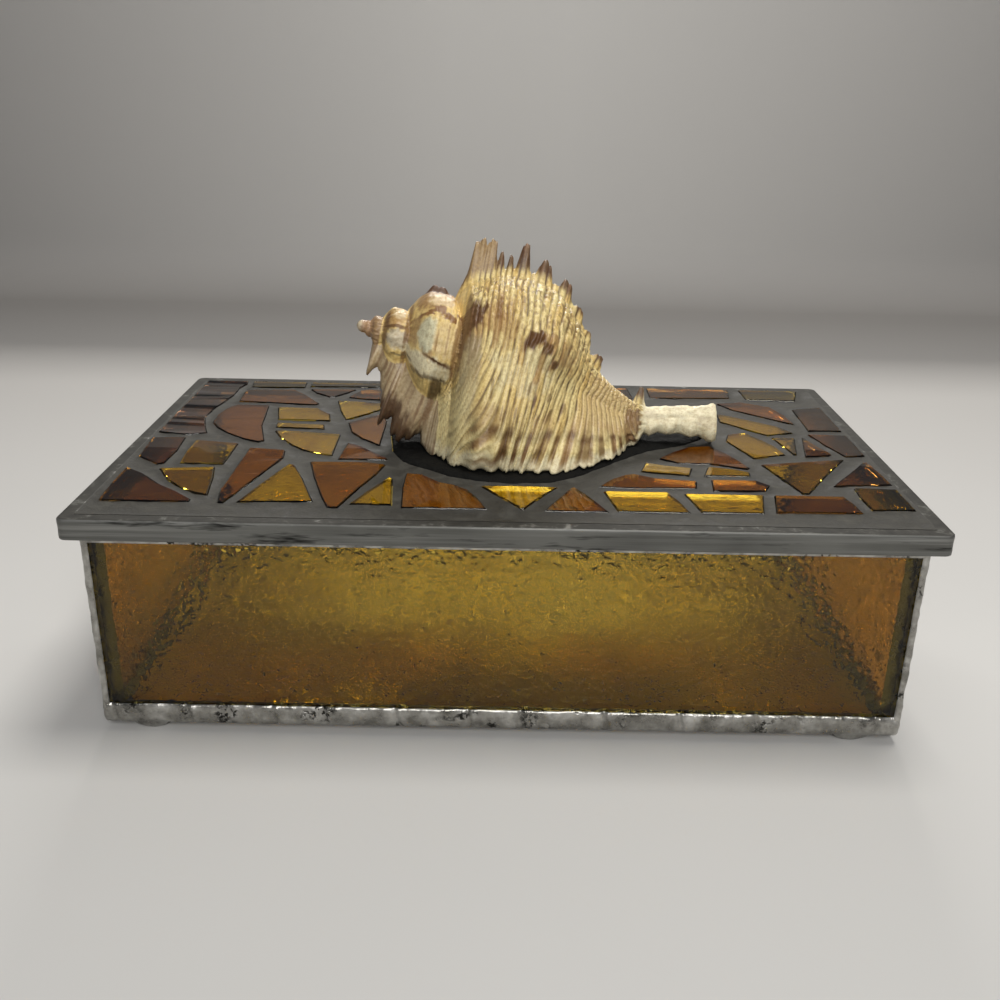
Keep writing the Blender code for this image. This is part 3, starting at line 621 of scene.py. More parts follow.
def bottom_bead():
    """The bead along the bottom, outside the walls and under them, with the fillet inside."""
    low = SOLDER_LOW.z + 3.0 * MM
    lap = WALL_LOW.z + 1.3 * MM
    web = GLASS_HIGH.z + 0.3 * MM
    inner = -3.3
    section = in_metres([
        (-4.5, low, 0, 0), (-1.5, low, 0, 0.3), (0, low, 0, 0.5), (0.5, low, 0.15, 0.8), (0.85, low, 0.6, 1),
        (1.02, low, 1.3, 1), (1.1, low, 2.1, 1), (1.12, low, 3.1, 1), (1.1, low, 4.1, 1), (1.0, low, 5.1, 1),
        (0.8, low, 5.9, 0.8), (0.55, lap, -0.1, 0.6), (0.32, lap, 0, 0.3), (0.3, web, 0.6, 0),
        (inner, web, 0.6, 0), (inner, web, 1.7, 0.4), (inner - 0.9, web, 0.7, 0.6),
        (inner - 1.7, web, 0, 0.2), (0.3, web, 0, 0), (0.3, low, 0.8, 0), (-4.5, low, 0.8, 0)])
    return ring_sweep(HALF_LENGTH, HALF_DEPTH, 0.3 * MM, section, 0.5 * MM, bead_lumps)


def top_rim():
    """Thin solder over the walls' top edges."""
    low = WALL_HIGH.z - 1.2 * MM
    top = SOLDER_HIGH.z
    inner = -3.3
    section = in_metres([
        (0.3, low, 0, 0), (0.75, low, 0, 0.2), (0.82, low, 0.4, 0.3), (0.8, top, -0.4, 0.3), (0.5, top, 0, 0),
        (inner - 0.2, top, 0, 0), (inner - 0.5, top, -0.3, 0.3), (inner - 0.5, low, 0, 0), (inner, low, 0, 0),
        (inner, WALL_HIGH.z, 0.3, 0), (0.3, WALL_HIGH.z, 0.3, 0)])
    return ring_sweep(HALF_LENGTH, HALF_DEPTH, 0.0, section, 1.6 * MM, bead_lumps)


def corner_seam(side_x, side_y):
    """Upright solder round a corner, with its fillet inside."""
    profile = [(1.4, -0.35, 0.3), (1.15, -0.8, 0.8), (0.7, -0.92, 1), (0.0, -0.88, 1), (-0.55, -0.6, 1),
               (-0.85, -0.1, 1), (-0.92, 0.8, 1), (-0.9, 2.0, 1), (-0.92, 3.2, 1), (-0.9, 4.4, 1),
               (-0.75, 5.2, 0.8), (-0.35, 5.6, 0.3), (-0.3, 4.2, 0), (3.3, 4.1, 0), (3.3, 5.0, 0.3),
               (4.1, 4.1, 0.6), (5.0, 3.3, 0.3), (-0.3, 3.3, 0), (-0.3, -0.3, 0), (0.6, -0.3, 0)]
    low, top = WALL_LOW.z - 0.6 * MM, WALL_HIGH.z + 0.5 * MM
    points = []
    for level in range(SEAM_LEVELS):
        z = low + (top - low) * level / (SEAM_LEVELS - 1)
        for u, v, share in profile:
            x, y = side_x * (HALF_LENGTH - u * MM), side_y * (HALF_DEPTH - v * MM)
            swell = 0.22 * grain((x * 2, y * 2, z), 6 * MM, side_x + 3) + 0.12 * grain((x, y, z), 2 * MM, 2)
            swell *= share * MM
            points.append((x + side_x * swell, y + side_y * swell, z))
    return points, grid_faces(SEAM_LEVELS, len(profile))


def foot(side_x, side_y):
    """A drop of solder under a corner."""
    rows = [(0.0, 0.0), (0.0, 0.45), (0.10, 0.66), (0.32, 0.84), (0.62, 0.95), (0.85, 1.02), (1.0, 1.06),
            (1.15, 0.95)]
    middle_x = side_x * (HALF_LENGTH - FOOT_FROM_END)
    middle_y = side_y * (HALF_DEPTH - FOOT_FROM_FACE)
    points = []
    for rise, spread in rows:
        z = rise * FOOT_TOP
        for step in range(FOOT_SIDES):
            turn = math.tau * step / FOOT_SIDES
            x, y = FOOT_HALF_LENGTH * spread * math.cos(turn), FOOT_HALF_DEPTH * spread * math.sin(turn)
            lumps = grain((middle_x + x, middle_y + y, z), 4 * MM, side_x + 2 * side_y)
            swell = 1 + 0.10 * lumps * (rise > 0)
            points.append((middle_x + x * swell, middle_y + y * swell, z))
    return points, grid_faces(len(rows), FOOT_SIDES)


def build_solder():
    """All the solder, one mesh of bead, rim, seams and feet."""
    corners = [(x, y) for x in (-1, 1) for y in (-1, 1)]
    parts = [bottom_bead(), top_rim()]
    parts += [corner_seam(x, y) for x, y in corners]
    parts += [foot(x, y) for x, y in corners]
    points, faces = stack(parts)
    made = mesh_object("solder_seams", points, faces, solder_metal())
    made.data.set_sharp_from_angle(angle=math.radians(70))
    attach(made, "root")
    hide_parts("solder_frame")
    return made


# Murex shell, in millimetres over the lid

SHELL_BACK = 5.0
SHELL_BASE = 0.9
APEX = -51.0
SHELL_AXIS = [(-51, 38.9, 10), (-17, 31.5, 10), (0, 27.0, 10), (10, 23.5, 18), (18, 19.5, 29),
              (26, 14.5, 36), (34, 10.5, 28), (45, 7.4, 9), (57, 8.0, 3), (72, 7.0, 0)]
SHELL_GIRTH = [(-21, 19.5), (-16, 22.5), (-10, 25.8), (-4, 28.0), (3, 28.9), (8, 27.8), (12, 24.8),
               (16, 20.0), (20, 14.6), (24, 11.0), (30, 9.2), (36, 7.6), (44, 5.4), (50, 4.5), (58, 4.3),
               (66, 5.0), (72, 6.4)]
SHELL_LIP = [(-21.5, 150, 35), (-19, 144, 39), (-15, 136, 41.5), (-8, 127, 46.4), (-3, 124, 47.6),
             (5, 122, 45.5), (16, 119, 44.2), (27, 113, 40.5), (33, 110, 33), (39, 110, 23), (43, 118, 14),
             (47, 124, 7)]
FRONDS = [(-26.5, 4.0, 2.4), (-15.7, 2.7, 16.2), (-11.9, 2.7, 13.0), (-7.9, 1.7, 8.8), (-4.6, 1.5, 6.9),
          (-0.8, 2.3, 11.2), (4.9, 2.4, 7.4), (10.3, 2.2, 6.0), (14.4, 1.9, 4.2), (18.4, 1.9, 3.4),
          (23.4, 2.2, 4.4), (45.0, 2.3, 6.0)]
SPIRE_WEB = [(-45, 0), (-42.6, 9.2), (-40.5, 6.2), (-38, 7.4), (-35.5, 12), (-33.2, 19), (-31, 16.5),
             (-28, 18.5), (-24, 13), (-20.5, 5), (-17.5, 0)]
WEB_TURN = 162.0
WEB_HALF_TURN = 34.0
WEB_LEAN = 0.3
WHORL_GROWTH = 1.95
WHORL_SPREAD = 0.55
HELIX_MIDDLE = -10.0
BODY_SUTURE = 30.6
SUTURE_CLIMB = 4.0
BODY_START = -21.0
VARIX_TURN = -12.0
BACK_VARIX_TURN = -132.0
LIP_START = 62.0
LIP_LATER = 56.0
LIP_LATER_LENGTH = 12.0
LIP_MIDDLE = 120.0
LIP_END = 200.0
CORD = 1.75
PLEAT = 3.4
SLEEVE_END = 45.6
CANAL_START = 46.5

# Rings of points along the shell: where a stretch starts and ends, and its number of rings
STRETCHES = ((APEX, -21.0, 64), (-21.0, 45.0, 222), (45.0, 72.0, 29))
COLUMNS = 300
FRONT_SHARE = 0.62

CREAM = (0.86, 0.615, 0.215)
PALE = (0.97, 0.83, 0.41)
WHITE = (0.90, 0.82, 0.56)
TAN = (0.36, 0.19, 0.065)
BROWN = (0.115, 0.047, 0.014)
PURPLE = (0.100, 0.046, 0.024)
GREEN_WHITE = (0.70, 0.66, 0.44)
HONEY = (0.50, 0.31, 0.12)
GROOVE_BROWN = (0.060, 0.025, 0.008)
LINE_BROWN = (0.20, 0.10, 0.03)
NET_BROWN = (0.22, 0.12, 0.045)
LEDGE_BROWN = (0.13, 0.06, 0.02)
# painted shade between the lip's folds
FOLD_SHADE = (0.15, 0.07, 0.027)
SHADED_TAN = (0.50, 0.32, 0.13)
FLAP_CREAM = (0.96, 0.82, 0.42)
# painted shade for the lip's underside
UNDERSIDE_SHADE = (0.30, 0.20, 0.10)

# Pigment, with painted shade in two sutures and one painted highlight: place, half width, turn, half turn,
# colour, strength and how far it frays along the cords
PIGMENT_AND_PAINTED_LIGHT = [
    # spire
    (-50.4, 1.4, 80, 200, (0.66, 0.56, 0.40), 0.9, 0), (-47.4, 2.0, 80, 200, (0.34, 0.19, 0.12), 0.85, 2),
    (-44.2, 1.5, 80, 200, (0.24, 0.13, 0.08), 0.8, 2), (-38.4, 3.4, 36, 30, HONEY, 0.9, 4),
    (-37.6, 2.2, 28, 14, (0.74, 0.60, 0.34), 0.75, 2), (-37.8, 3.8, 60, 4, (0.17, 0.085, 0.03), 0.85, 2),
    # the dark band at place -41.2 is painted shade in the suture on the spire's left side
    (-36.8, 3.6, 86, 20, (0.64, 0.57, 0.42), 0.9, 3), (-41.2, 1.0, 60, 70, (0.13, 0.06, 0.03), 0.8, 3),
    (-34.0, 0.9, 70, 80, (0.20, 0.10, 0.04), 0.8, 4),
    # last whorl before the body
    # the cream spot at place -25.0 is a painted highlight on the top of this whorl
    (-26.5, 6.5, 4, 34, (0.38, 0.22, 0.09), 0.9, 4), (-25.0, 3.8, 22, 12, (0.68, 0.52, 0.27), 0.8, 3),
    (-27.0, 4.6, -9, 9, PURPLE, 0.95, 2), (-24.0, 7.5, 44, 7, (0.24, 0.11, 0.035), 0.95, 9),
    (-31.5, 2.0, 66, 26, (0.34, 0.20, 0.09), 0.7, 5), (-27.4, 3.0, 71, 18, GREEN_WHITE, 1.0, 3),
    (-21.2, 3.6, 73, 20, (0.76, 0.58, 0.27), 0.9, 3), (-23.9, 0.4, 76, 14, (0.36, 0.20, 0.07), 0.7, 5),
    (-20.6, 0.35, 70, 16, (0.36, 0.20, 0.07), 0.6, 6), (-26.0, 2.2, 86, 5, (0.44, 0.26, 0.10), 0.7, 5),
    (-28.0, 6.5, 100, 11, WHITE, 0.9, 2), (-20.5, 3.0, 103, 8, (0.62, 0.56, 0.38), 0.8, 3),
    (-17.6, 1.0, 76, 34, (0.30, 0.17, 0.07), 0.8, 5),
    # body
    (-10.5, 6.5, 52, 20, TAN, 0.55, 14), (-13.0, 3.4, 42, 14, BROWN, 0.95, 9),
    (-6.2, 0.7, 44, 7, BROWN, 0.7, 4), (-15.2, 1.5, 62, 26, (0.20, 0.105, 0.04), 0.8, 9),
    (-3.0, 4.0, 50, 14, TAN, 0.4, 12),
    # the band at place -16.0 is painted shade along the suture over the body
    (-12.4, 3.2, 88, 26, (0.38, 0.31, 0.20), 0.65, 4), (-16.0, 0.8, 62, 45, (0.22, 0.13, 0.06), 0.75, 4),
    (7.5, 6.0, 62, 9, TAN, 0.65, 10), (4.8, 2.4, 60, 8, BROWN, 0.95, 7), (8.4, 1.4, 64, 4, BROWN, 0.8, 5),
    (11.6, 1.0, 66, 4, BROWN, 0.85, 3), (14.5, 3.0, 50, 10, TAN, 0.45, 10),
    (2.5, 9.5, 79, 9, (0.80, 0.72, 0.45), 0.40, 9), (9.0, 0.5, 93, 4, BROWN, 0.9, 1),
    (15.0, 0.6, 98, 4, BROWN, 0.8, 1), (0.4, 0.4, 104, 4, BROWN, 0.7, 1),
    (-4.6, 0.45, 93, 5, BROWN, 0.6, 1), (6.6, 0.4, 86, 4, BROWN, 0.6, 1),
    (13.0, 0.5, 89, 3, BROWN, 0.6, 1), (11.6, 0.5, 102, 3, BROWN, 0.6, 1), (4.0, 0.4, 100, 3, BROWN, 0.5, 1),
    (18.6, 0.6, 92, 4, BROWN, 0.6, 1),
    # sleeve of the canal
    (33.0, 10.0, 60, 70, (0.50, 0.35, 0.16), 0.55, 10), (43.0, 3.2, 90, 60, (0.24, 0.13, 0.055), 0.85, 14),
]


def smooth_value(stations, place, column=1):
    """Value at a place on the smooth curve through the stations."""
    if place <= stations[0][0]:
        return stations[0][column]
    if place >= stations[-1][0]:
        return stations[-1][column]
    last = len(stations) - 1
    i = max(k for k in range(last) if stations[k][0] <= place)

    def slope(k):
        a, b = stations[max(k - 1, 0)], stations[min(k + 1, last)]
        return (b[column] - a[column]) / (b[0] - a[0])

    here, there = stations[i], stations[i + 1]
    span = there[0] - here[0]
    t = (place - here[0]) / span
    return (here[column] * (2 * t ** 3 - 3 * t ** 2 + 1) + slope(i) * span * (t ** 3 - 2 * t ** 2 + t)
            + there[column] * (3 * t ** 2 - 2 * t ** 3) + slope(i + 1) * span * (t ** 3 - t ** 2))


def bump_of(distance, half_width):
    """One in the middle, falling smoothly to zero at the half width."""
    share = min(abs(distance) / half_width, 1.0)
    return (1 - share * share) ** 2


def step_of(value, low, high):
    """Zero up to low, one from high on, smooth in between."""
    share = min(max((value - low) / (high - low), 0.0), 1.0)
    return share * share * (3 - 2 * share)


def turn_between(a, b):
    return (a - b + 180) % 360 - 180


def blade(distance, half_width, flat):
    """Profile of a frond: nearly level over its flat share, then down to both sides."""
    share = max(1 - abs(distance) / half_width, 0.0)
    return min(1.0, share / (1 - flat)) * (0.86 + 0.14 * share)


def wrinkle(place, turn, size_place, size_turn, seed=0.0):
    """Noise on the shell, round its girth without a seam."""
    angle = math.radians(turn)
    reach = 57.3 / size_turn
    return noise.noise((place / size_place, reach * math.cos(angle) + seed, reach * math.sin(angle) - seed))


def blend(tone, color, share):
    return [a + (b - a) * share for a, b in zip(tone, color)]


def spire_radius(place, turn):
    """Radius of the stepped whorls and how far down its whorl the point lies."""
    from_apex = max(place - APEX, 0.3)
    suture = BODY_SUTURE * WHORL_GROWTH ** ((turn_between(turn, HELIX_MIDDLE) + HELIX_MIDDLE) / 360)
    climb = SUTURE_CLIMB * bump_of(turn - LIP_MIDDLE, 60)
    whorl = math.log(from_apex / (suture - climb)) / math.log(WHORL_GROWTH)
    share = whorl - math.floor(whorl)
    swell = min(share / 0.62, 1.0)
    radius = WHORL_SPREAD * suture * WHORL_GROWTH ** (math.floor(whorl) + math.sin(math.pi / 2 * swell))
    groove = math.exp(-share / 0.06) + 0.5 * math.exp(-(1 - share) / 0.06)
    return radius * (1 - 0.14 * groove), share


def varix_height(place, turn):
    """Height of the fronds, torn at their ends, and of the ridge behind them."""
    height = 0.0
    near = bump_of(turn_between(turn, VARIX_TURN), 5.5)
    if near > 0:
        torn = 0.97 + 0.16 * wrinkle(place, turn, 1.7, 9, 5.0)
        leaf = max(tall * torn * blade(place - middle, half * 1.08, 0.6 if tall > 12 else 0.38)
                   for middle, half, tall in FRONDS)
        height = near ** 0.8 * max(2.2 * bump_of(place, 34), 9.5 * bump_of(place + 13.5, 9), leaf)
    behind = bump_of(turn_between(turn, BACK_VARIX_TURN), 14)
    if place > BODY_START and behind > 0:
        height += 3.0 * behind * bump_of(place - 6, 24) * (1 + 0.3 * math.cos(place * 1.1))
    return height


def web_height(place, turn):
    """The frilled web under the spire."""
    frill = 1 - 0.10 * step_of(math.cos(math.tau * place / 2.3), -0.2, 1.0)
    return frill * smooth_value(SPIRE_WEB, place) * bump_of(turn_between(turn, WEB_TURN), WEB_HALF_TURN)


def lip_flare(place, turn, girth, edge_turn, edge_radius):
    """Radius of the flaring lip, and how far out on it the point is."""
    if not SHELL_LIP[0][0] <= place <= SHELL_LIP[-1][0] or not LIP_START < turn < LIP_END:
        return girth, 0.0
    edge = edge_radius + math.cos(math.tau * place / 6.5)
    start = LIP_START + LIP_LATER * bump_of(place - SHELL_LIP[0][0], LIP_LATER_LENGTH)
    share = min(max(turn - start, 0.0) / (edge_turn - start), 1.0)
    steep = 2 + 2.5 * bump_of(place - SHELL_LIP[0][0], 9)
    return girth + max(edge - girth, 0.0) * share ** steep, share


def fanned(place, flare):
    """Place that the cords and folds go by: they fan out towards both ends of the lip."""
    return place + flare ** 2 * (13.0 * step_of(-place, -5, 12) - 6.0 * step_of(place, 8, 28))


def cord_at(place, turn):
    """Number of the nearest cord and groove, and how deep in the groove the point lies."""
    warp = 0.8 * wrinkle(place, turn, 7, 40, 1.0) + 0.45 * wrinkle(place, turn, 2.4, 16, 31.0)
    run = (place + warp) / CORD
    inside_cord = run - math.floor(run)
    edge = min(inside_cord, 1 - inside_cord) * CORD
    groove = math.exp(-(edge / 0.27) ** 2)
    middle = 0.7 * math.exp(-((inside_cord - 0.5) * CORD / 0.17) ** 2)
    return math.floor(run), round(run), groove, middle


def top_band(turn):
    """Share of the pitted band along the top of the body."""
    return bump_of(turn - 22, 48)


def ledge_turn(place):
    """Turn of the ledge across the last whorl before the body."""
    return 90 + 0.875 * (place + 26)


def lip_layers(place, flare, pleat, groove, cloud, fray):
    """Lip: painted shade between its folds, cream on them and on the left flap, white at the edge."""
    ridge = step_of(pleat, -0.5, 0.6)
    outer = step_of(flare, 0.62, 0.90)
    left = step_of(-place, 7, 13)
    # painted shade in the grooves between the folds of the lip's outer part
    shade = outer * (1 - ridge) * (1 - 0.8 * left) * (0.6 + 0.4 * step_of(cloud, -0.2, 0.1))
    return [(FOLD_SHADE, shade),
            (SHADED_TAN, 0.5 * step_of(flare, 0.5, 0.7) * (1 - left) * step_of(cloud, 0, 0.3)),
            (LEDGE_BROWN, 0.75 * bump_of(flare - 0.79 - 0.03 * fray, 0.06) * (1 - left)),
            (PALE, 0.70 * outer * ridge),
            (FLAP_CREAM, 0.9 * left * step_of(flare, 0.30, 0.6) * (1 - 0.7 * groove)),
            (WHITE, 0.85 * step_of(flare + 0.06 * ridge, 0.93, 1.0))]


def frond_layer(place, turn, rise):
    """Fronds purple brown with paler ribs, the long spine tan."""
    spine = min(bump_of(place + 14, 6.5) * 1.6, 1.0)
    ribs = noise.noise((place * 2.3, turn / 9, 2.0))
    leaf = blend(PURPLE, (0.22, 0.12, 0.075), step_of(ribs, -0.1, 0.4))
    leaf = blend(leaf, (0.40, 0.27, 0.135), spine)
    leaf = blend(leaf, (0.13, 0.07, 0.035), 0.7 * step_of(ribs, 0.1, 0.4) * spine)
    return leaf, 0.93 * step_of(rise + 1.2 * ribs, 1.4, 3.6)


def shell_tone(place, turn, cord, cords, body, flare, pleat, rise, web):
    """Colour of a point: cream cords with broken brown lines between, pigment, painted shade in two sutures,
    in the gap behind the lip's flap and between the lip's folds, a painted highlight, brown fronds, white
    ends.
    """
    number, groove_number, groove, middle = cord
    speck = wrinkle(place, turn, 0.8, 4.5, 13.0)
    cloud = wrinkle(place, turn, 8, 24, 3.0)
    tint = noise.noise((number * 3.7, turn / 30, 9.0))
    broken = noise.noise((groove_number * 5.3, turn / 10, 3.0))
    half = noise.noise((groove_number * 2.9, turn / 7, 17.0))
    net = step_of(wrinkle(place, turn, 0.75, 3.6, 41.0), 0.12, 0.38)
    fray = 2.2 * noise.noise((number * 1.7, 4.0, turn / 24))
    layers = [(PALE, max(0.50 + 0.7 * tint, 0.0) * (0.35 + 0.65 * body)),
              (PALE, 0.5 * step_of(place, 22, 34)),
              (GROOVE_BROWN, groove * cords * (0.60 + 0.40 * step_of(broken, -0.15, 0.15))),
              (LINE_BROWN, middle * cords * step_of(half, -0.05, 0.2)),
              (NET_BROWN, 0.70 * net * top_band(turn) * body)]
    for spot, width, where, half_turn, color, strength, frays in PIGMENT_AND_PAINTED_LIGHT:
        aside = turn_between(turn, where)
        if abs(place - spot) < width * 1.5 and abs(aside) < half_turn * 1.5 + 2 * frays:
            ragged = 1 + 0.55 * wrinkle(place, turn, 1.1, 6, 20.0) + 0.35 * speck
            weight = bump_of(place - spot, width * 1.5) * bump_of(aside + frays * fray, half_turn * 1.5)
            layers.append((color, strength * step_of(weight * ragged, 0.12, 0.50)))
    if -29 < place < -17.5:
        line = bump_of(turn - ledge_turn(place) - 2.5 * speck, 3.2) * bump_of(place + 22.5, 7)
        layers.append((LEDGE_BROWN, min(1.0, 1.3 * line)))
    if -38 < place < -18:
        line = bump_of(turn - 112 - 4 * fray, 4.0) * (1 - min(flare * 3, 1))
        layers.append(((0.20, 0.15, 0.08), 0.8 * line))
    # painted shadow in the gap between the lip's left flap and the whorl behind it
    if -24.5 < place < -19.6:
        gap_shade = step_of(place, -24.5, -23) * (1 - step_of(place, -20.6, -19.6)) * bump_of(turn - 128, 26)
        layers.append(((0.05, 0.028, 0.014), 0.85 * min(gap_shade * 2, 1.0)))
    if flare > 0:
        layers += lip_layers(place, flare, pleat, groove, cloud, fray)
    if web > 0.5:
        ribs = step_of(noise.noise((place * 1.9, turn / 30, 5.0)), -0.1, 0.3)
        layers += [((0.56, 0.45, 0.30), 0.8), ((0.26, 0.15, 0.075), 0.75 * ribs),
                   (PURPLE, 0.85 * step_of(web + 4 * speck + 3 * (0.5 - ribs), 8.0, 12.0))]
    end = SLEEVE_END + 1.6 * noise.noise((0.0, turn / 13, 6.0))
    canal = blend(WHITE, (0.62, 0.53, 0.36), 0.5 * step_of(cloud, 0.0, 0.5))
    layers += [frond_layer(place, turn, rise),
               ((0.10, 0.05, 0.022), 0.7 * bump_of(place - end + 0.5, 0.9) * (place > 30)),
               (canal, step_of(place, end, end + 0.7))]
    tone = [value * (1 + 0.20 * cloud + 0.14 * speck) for value in CREAM]
    for color, share in layers:
        tone = blend(tone, color, share)
    return [min(max(value, 0.0), 1.0) for value in tone]


def whorl_relief(place, turn, girth, share):
    """Beads and lumps on the whorls of the spire."""
    beads = math.cos(math.tau * turn / 26 + 0.7 * place)
    relief = 0.035 * girth * beads * bump_of(share - 0.5, 0.35) * step_of(-place, 33, 36)
    return relief + 0.30 * wrinkle(place, turn, 2.0, 8, 6.0)


def ledge_relief(place, turn):
    """Swollen panel over the ledge of the last whorl, and the strip under it."""
    ledge = ledge_turn(place)
    panel = step_of(turn, 44, 52) * (1 - step_of(turn, ledge - 1, ledge + 1.5))
    strip = step_of(turn, ledge, ledge + 3) * (1 - step_of(turn, 109, 112))
    return 0.75 * bump_of(place + 23.5, 7) * panel + 0.55 * bump_of(place + 24, 9) * strip


def lip_relief(place, turn, fan, flare, pleat, under):
    """Folds of the lip, a swelling short of its edge and the nicks in the edge."""
    frill = step_of(flare, 0.68, 0.9) * (1 - 0.5 * step_of(-place, 7, 13)) * (1 - under)
    relief = frill * (0.65 * pleat + 0.9 * wrinkle(fan, turn, 2.2, 7, 71.0))
    relief += 0.9 * bump_of(flare - 0.87, 0.06) * (0.6 + wrinkle(fan, turn, 3.0, 30, 81.0))
    return relief - step_of(flare, 0.90, 1.0) * 0.9 * step_of(wrinkle(fan, turn, 2.0, 20, 51.0), -0.1, 0.4)


def shell_ring(place, turns):
    """Points of a ring of the shell and their colours."""
    height, lean = (smooth_value(SHELL_AXIS, place, column) for column in (1, 2))
    lean = math.radians(lean)
    girth_here = smooth_value(SHELL_GIRTH, place)
    edge_turn, edge_radius = (smooth_value(SHELL_LIP, place, column) for column in (1, 2))
    points, tones = [], []
    for turn in turns:
        body = step_of(place + 4.5 * step_of(turn, 90, 104), -17, -14) * (1 - step_of(place, 43, 46))
        girth, share = spire_radius(place, turn)
        on_body = place > BODY_START and girth_here < girth
        if on_body:
            girth = girth_here
        if place < APEX + 4.5:
            girth = max(girth, 2.1 * math.sqrt(max(1 - ((place - APEX - 2.2) / 2.3) ** 2, 0.0)))
        radius, flare = lip_flare(place, turn, girth, edge_turn, edge_radius)
        fan = fanned(place, flare)
        cord = cord_at(fan, turn)
        # past the lip's edge, on its underside: no cords or folds there, and painted shade in the colour
        under = step_of(turn - edge_turn, 8, 16) if flare > 0 else 0.0
        smooth_strip = bump_of(place + 12.5, 4.5) * bump_of(turn - 86, 28)
        cords = max(body * (1 - 0.75 * smooth_strip), 0.35 * step_of(place, -31, -27) * (1 - body))
        cords *= 1 - under
        relief = cords * (0.24 - 0.85 * cord[2] - 0.22 * cord[3])
        relief += 0.12 * cords * wrinkle(place, turn, 0.9, 4, 2.0)
        relief += 0.55 * top_band(turn) * body * wrinkle(place, turn, 0.85, 3.2, 41.0)
        if not on_body and place < -14:
            relief += whorl_relief(place, turn, girth, share)
        if -30 < place < -17.2:
            relief += ledge_relief(place, turn)
        relief += 0.30 * bump_of(place + 16.6, 0.8) * math.cos(math.tau * turn / 3.1) * (turn < 110)
        pleat = math.cos(math.tau * (fan + 2.6 * wrinkle(fan, turn, 4.5, 60, 7.0)) / PLEAT)
        if flare > 0.6:
            relief += lip_relief(place, turn, fan, flare, pleat, under)
        web = web_height(place, turn)
        if web > 1:
            relief += 0.40 * noise.noise((place * 1.9, turn / 30, 5.0)) * min(web / 6, 1)
        radius = max(radius, girth + web)
        rise = varix_height(place, turn)
        knob = 3.2 * bump_of(place - 9, 8) * bump_of(turn - 58, 18)
        knob += 0.8 * bump_of(place - 8, 6) * bump_of(turn - 61, 9) * math.cos(place * 4.0 + turn * 0.35)
        if place > CANAL_START:
            wing = bump_of(turn - 118, 55) * step_of(place, CANAL_START, 50)
            relief += 0.5 * wrinkle(place, turn, 3, 30, 61.0) + wing * (2.0 + 0.8 * math.cos(place * 0.9))
        elif place > 30:
            relief += 0.30 * step_of(place, 40, 45)
        radius += rise + knob + relief * step_of(place, -50, -44)
        angle = math.radians(turn)
        up, across = math.cos(angle), math.sin(angle)
        fall = -up * math.cos(lean)
        if fall > 0:
            radius = min(radius, (height - SHELL_BASE) / fall)
        x = (place + radius * up * math.sin(lean) - WEB_LEAN * web) * MM
        points.append((x, (SHELL_BACK - radius * across) * MM, LID_TOP + (height - radius * fall) * MM))
        tone = shell_tone(place, turn, cord, cords, body, flare, pleat, rise, web)
        # the lip's underside gets painted shade
        tones.append([*blend(tone, UNDERSIDE_SHADE, under), 1.0])
    return points, tones


def shell_turns(place):
    """Places round a ring, closer in front, one of which keeps to the lip's edge."""
    edge_shift = smooth_value(SHELL_LIP, place, 1) - LIP_MIDDLE
    front = round(COLUMNS * FRONT_SHARE)
    back = COLUMNS - front
    even = [-20 + 140 * k / front for k in range(front)] + [120 + 220 * k / back for k in range(back)]
    turns = []
    for turn in even:
        if LIP_START < turn <= LIP_MIDDLE:
            turn += edge_shift * (turn - LIP_START) / (LIP_MIDDLE - LIP_START)
        elif LIP_MIDDLE < turn < LIP_END:
            turn += edge_shift * (LIP_END - turn) / (LIP_END - LIP_MIDDLE)
        turns.append(turn)
    return turns


def build_shell():
    """The murex, ring by ring from the apex to the canal's end."""
    places = [start + (end - start) * k / count for start, end, count in STRETCHES for k in range(count)]
    places.append(STRETCHES[-1][1])
    rings, tones = zip(*(shell_ring(place, shell_turns(place)) for place in places))
    made = mesh_object("murex_carved", *closed_rings(rings), shell_surface())
    attribute = made.data.color_attributes.new("tone", "FLOAT_COLOR", "POINT")
    attribute.data.foreach_set("color", np.array(tones, np.float32).ravel())
    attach(made, "root")
    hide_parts("murex_shell")
    return made


# Scene

def dress_panes():
    """Better glass on the plain panes."""
    for name, pale, deep, depth, panes in PANE_GLASS:
        surface = hammered_glass(name, pale, deep, depth)
        for pane in panes:
            materials = frame["nodes"][pane].data.materials
            materials.clear()
            materials.append(surface)


def build_mosaic():
    """Tiles, the grout between them and the adhesive under the shell."""
    tints = {slot: tile_glass(*glass) for slot, glass in TILE_GLASS.items()}
    slots = {part["node"]: part["material_slot"] for part in frame["record"]["subparts"]}
    names = sorted(name for name in slots if name.startswith("tile_"))
    outlines = []
    for name in names:
        slot = slots[name]
        made = build_tile(name, tints["wavy" if name == WAVY_TILE else slot])
        outlines.append(node_outline(name))
    bed = node_outline("shell_bed")
    build_grout(outlines, bed)
    build_bed(bed)


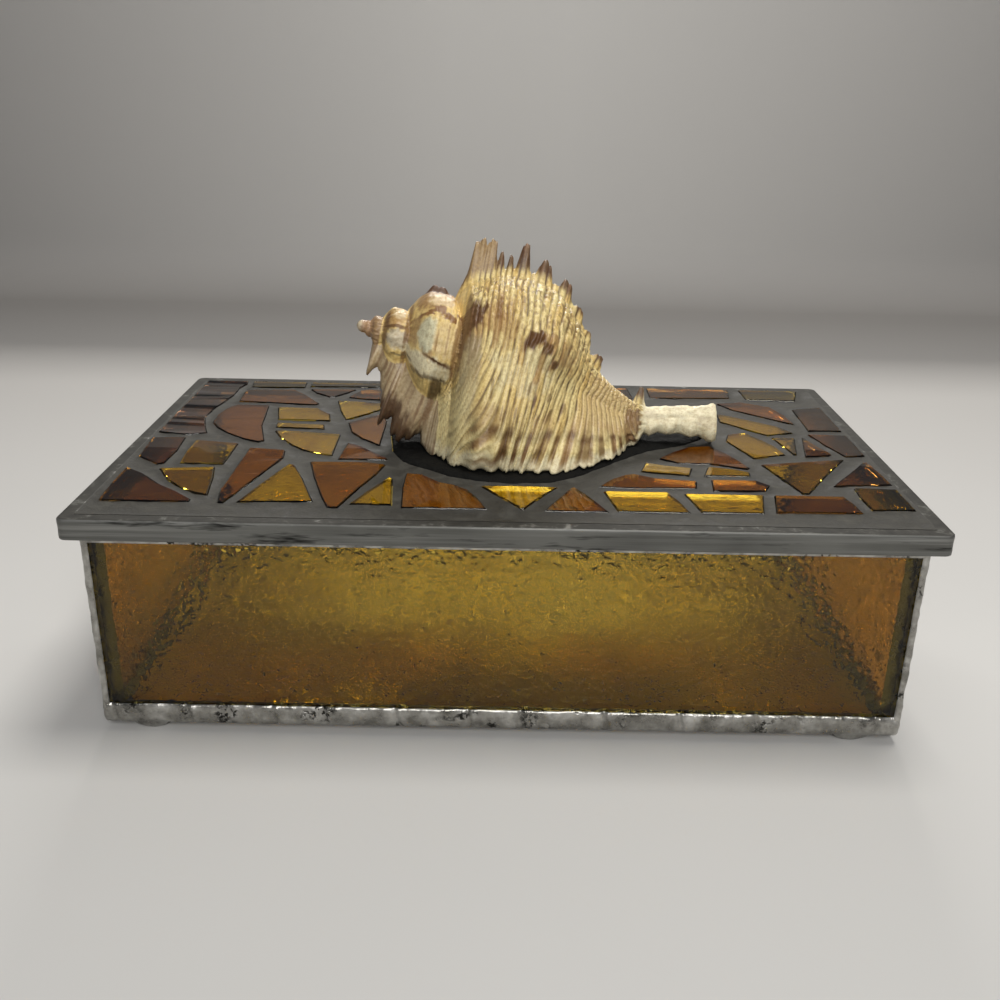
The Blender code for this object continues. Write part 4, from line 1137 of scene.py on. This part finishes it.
def build_stage():
    """A pale floor that turns up into a low backdrop, with painted shade: the floor darker towards the back,
    the backdrop darker towards its sides.
    """
    rows = [(FLOOR_FRONT, 0.0), (FLOOR_BACK, 0.0)]
    for turn in range(10, 91, 10):
        rows.append((FLOOR_BACK + BACKDROP_CURVE * math.sin(math.radians(turn)),
                     BACKDROP_CURVE - BACKDROP_CURVE * math.cos(math.radians(turn))))
    rows.append((FLOOR_BACK + BACKDROP_CURVE, BACKDROP_TOP))
    points = [(x, y, z) for y, z in rows for x in (-FLOOR_HALF_WIDTH, FLOOR_HALF_WIDTH)]
    faces = [(2 * k, 2 * k + 1, 2 * k + 3, 2 * k + 2) for k in range(len(rows) - 1)]
    paper = Recipe("studio_paper_painted_shade", Roughness=0.85)
    place = paper.parts_of(paper.node("TexCoord").outputs["Object"])
    cloud = paper.ramp(paper.noise(0.4, 3.0), [(0.3, (0.60, 0.595, 0.58)), (0.7, (0.64, 0.635, 0.62))])
    # painted shade: the floor darkens towards the back, the backdrop towards its sides
    floor_painted_falloff = paper.mix(paper.level(place["Y"], 0.0, 0.55), cloud, (0.36, 0.345, 0.33))
    aside = paper.math("ABSOLUTE", place["X"])
    wall_painted_shade = paper.mix(paper.level(aside, 0.05, 0.55), (0.62, 0.61, 0.59), (0.36, 0.35, 0.34))
    paper.feed("Base Color", paper.mix(paper.level(place["Z"], 0.0, 0.05), floor_painted_falloff, wall_painted_shade))
    mesh_object("studio_sweep", points, faces, paper.material)


def build_lights():
    """A dim sky and soft rectangular lamps."""
    scene = bpy.context.scene
    scene.world = bpy.data.worlds.new("studio")
    scene.world.use_nodes = True
    sky = scene.world.node_tree.nodes["Background"]
    sky.inputs["Color"].default_value = SKY
    sky.inputs["Strength"].default_value = SKY_STRENGTH
    for name, at, towards, size, power, color in LAMPS:
        light = bpy.data.lights.new(name, "AREA")
        light.energy = power
        light.shape = "RECTANGLE"
        light.size, light.size_y = size
        light.color = color
        lamp = bpy.data.objects.new(name, light)
        lamp.location = at
        lamp.rotation_euler = (Vector(towards) - Vector(at)).to_track_quat("-Z", "Y").to_euler()
        scene.collection.objects.link(lamp)
    scene.view_settings.view_transform = "Standard"


def build_camera():
    """The photograph's camera."""
    flat = math.cos(CAMERA_PITCH)
    forward = Vector((math.sin(CAMERA_YAW) * flat, math.cos(CAMERA_YAW) * flat, -math.sin(CAMERA_PITCH)))
    level = Vector((math.cos(CAMERA_YAW), -math.sin(CAMERA_YAW), 0))
    above = level.cross(forward)
    right = math.cos(CAMERA_ROLL) * level + math.sin(CAMERA_ROLL) * above
    up = -math.sin(CAMERA_ROLL) * level + math.cos(CAMERA_ROLL) * above
    data = bpy.data.cameras.new("camera")
    data.lens = CAMERA_LENS
    data.sensor_width = CAMERA_SENSOR
    camera = bpy.data.objects.new("camera", data)
    turned = Matrix((right, up, -forward)).transposed()
    camera.matrix_world = Matrix.Translation(CAMERA_AT) @ turned.to_4x4()
    bpy.context.scene.collection.objects.link(camera)
    bpy.context.scene.camera = camera


dress_panes()
build_solder()
build_lid_came()
build_mosaic()
build_shell()
build_stage()
build_lights()
build_camera()
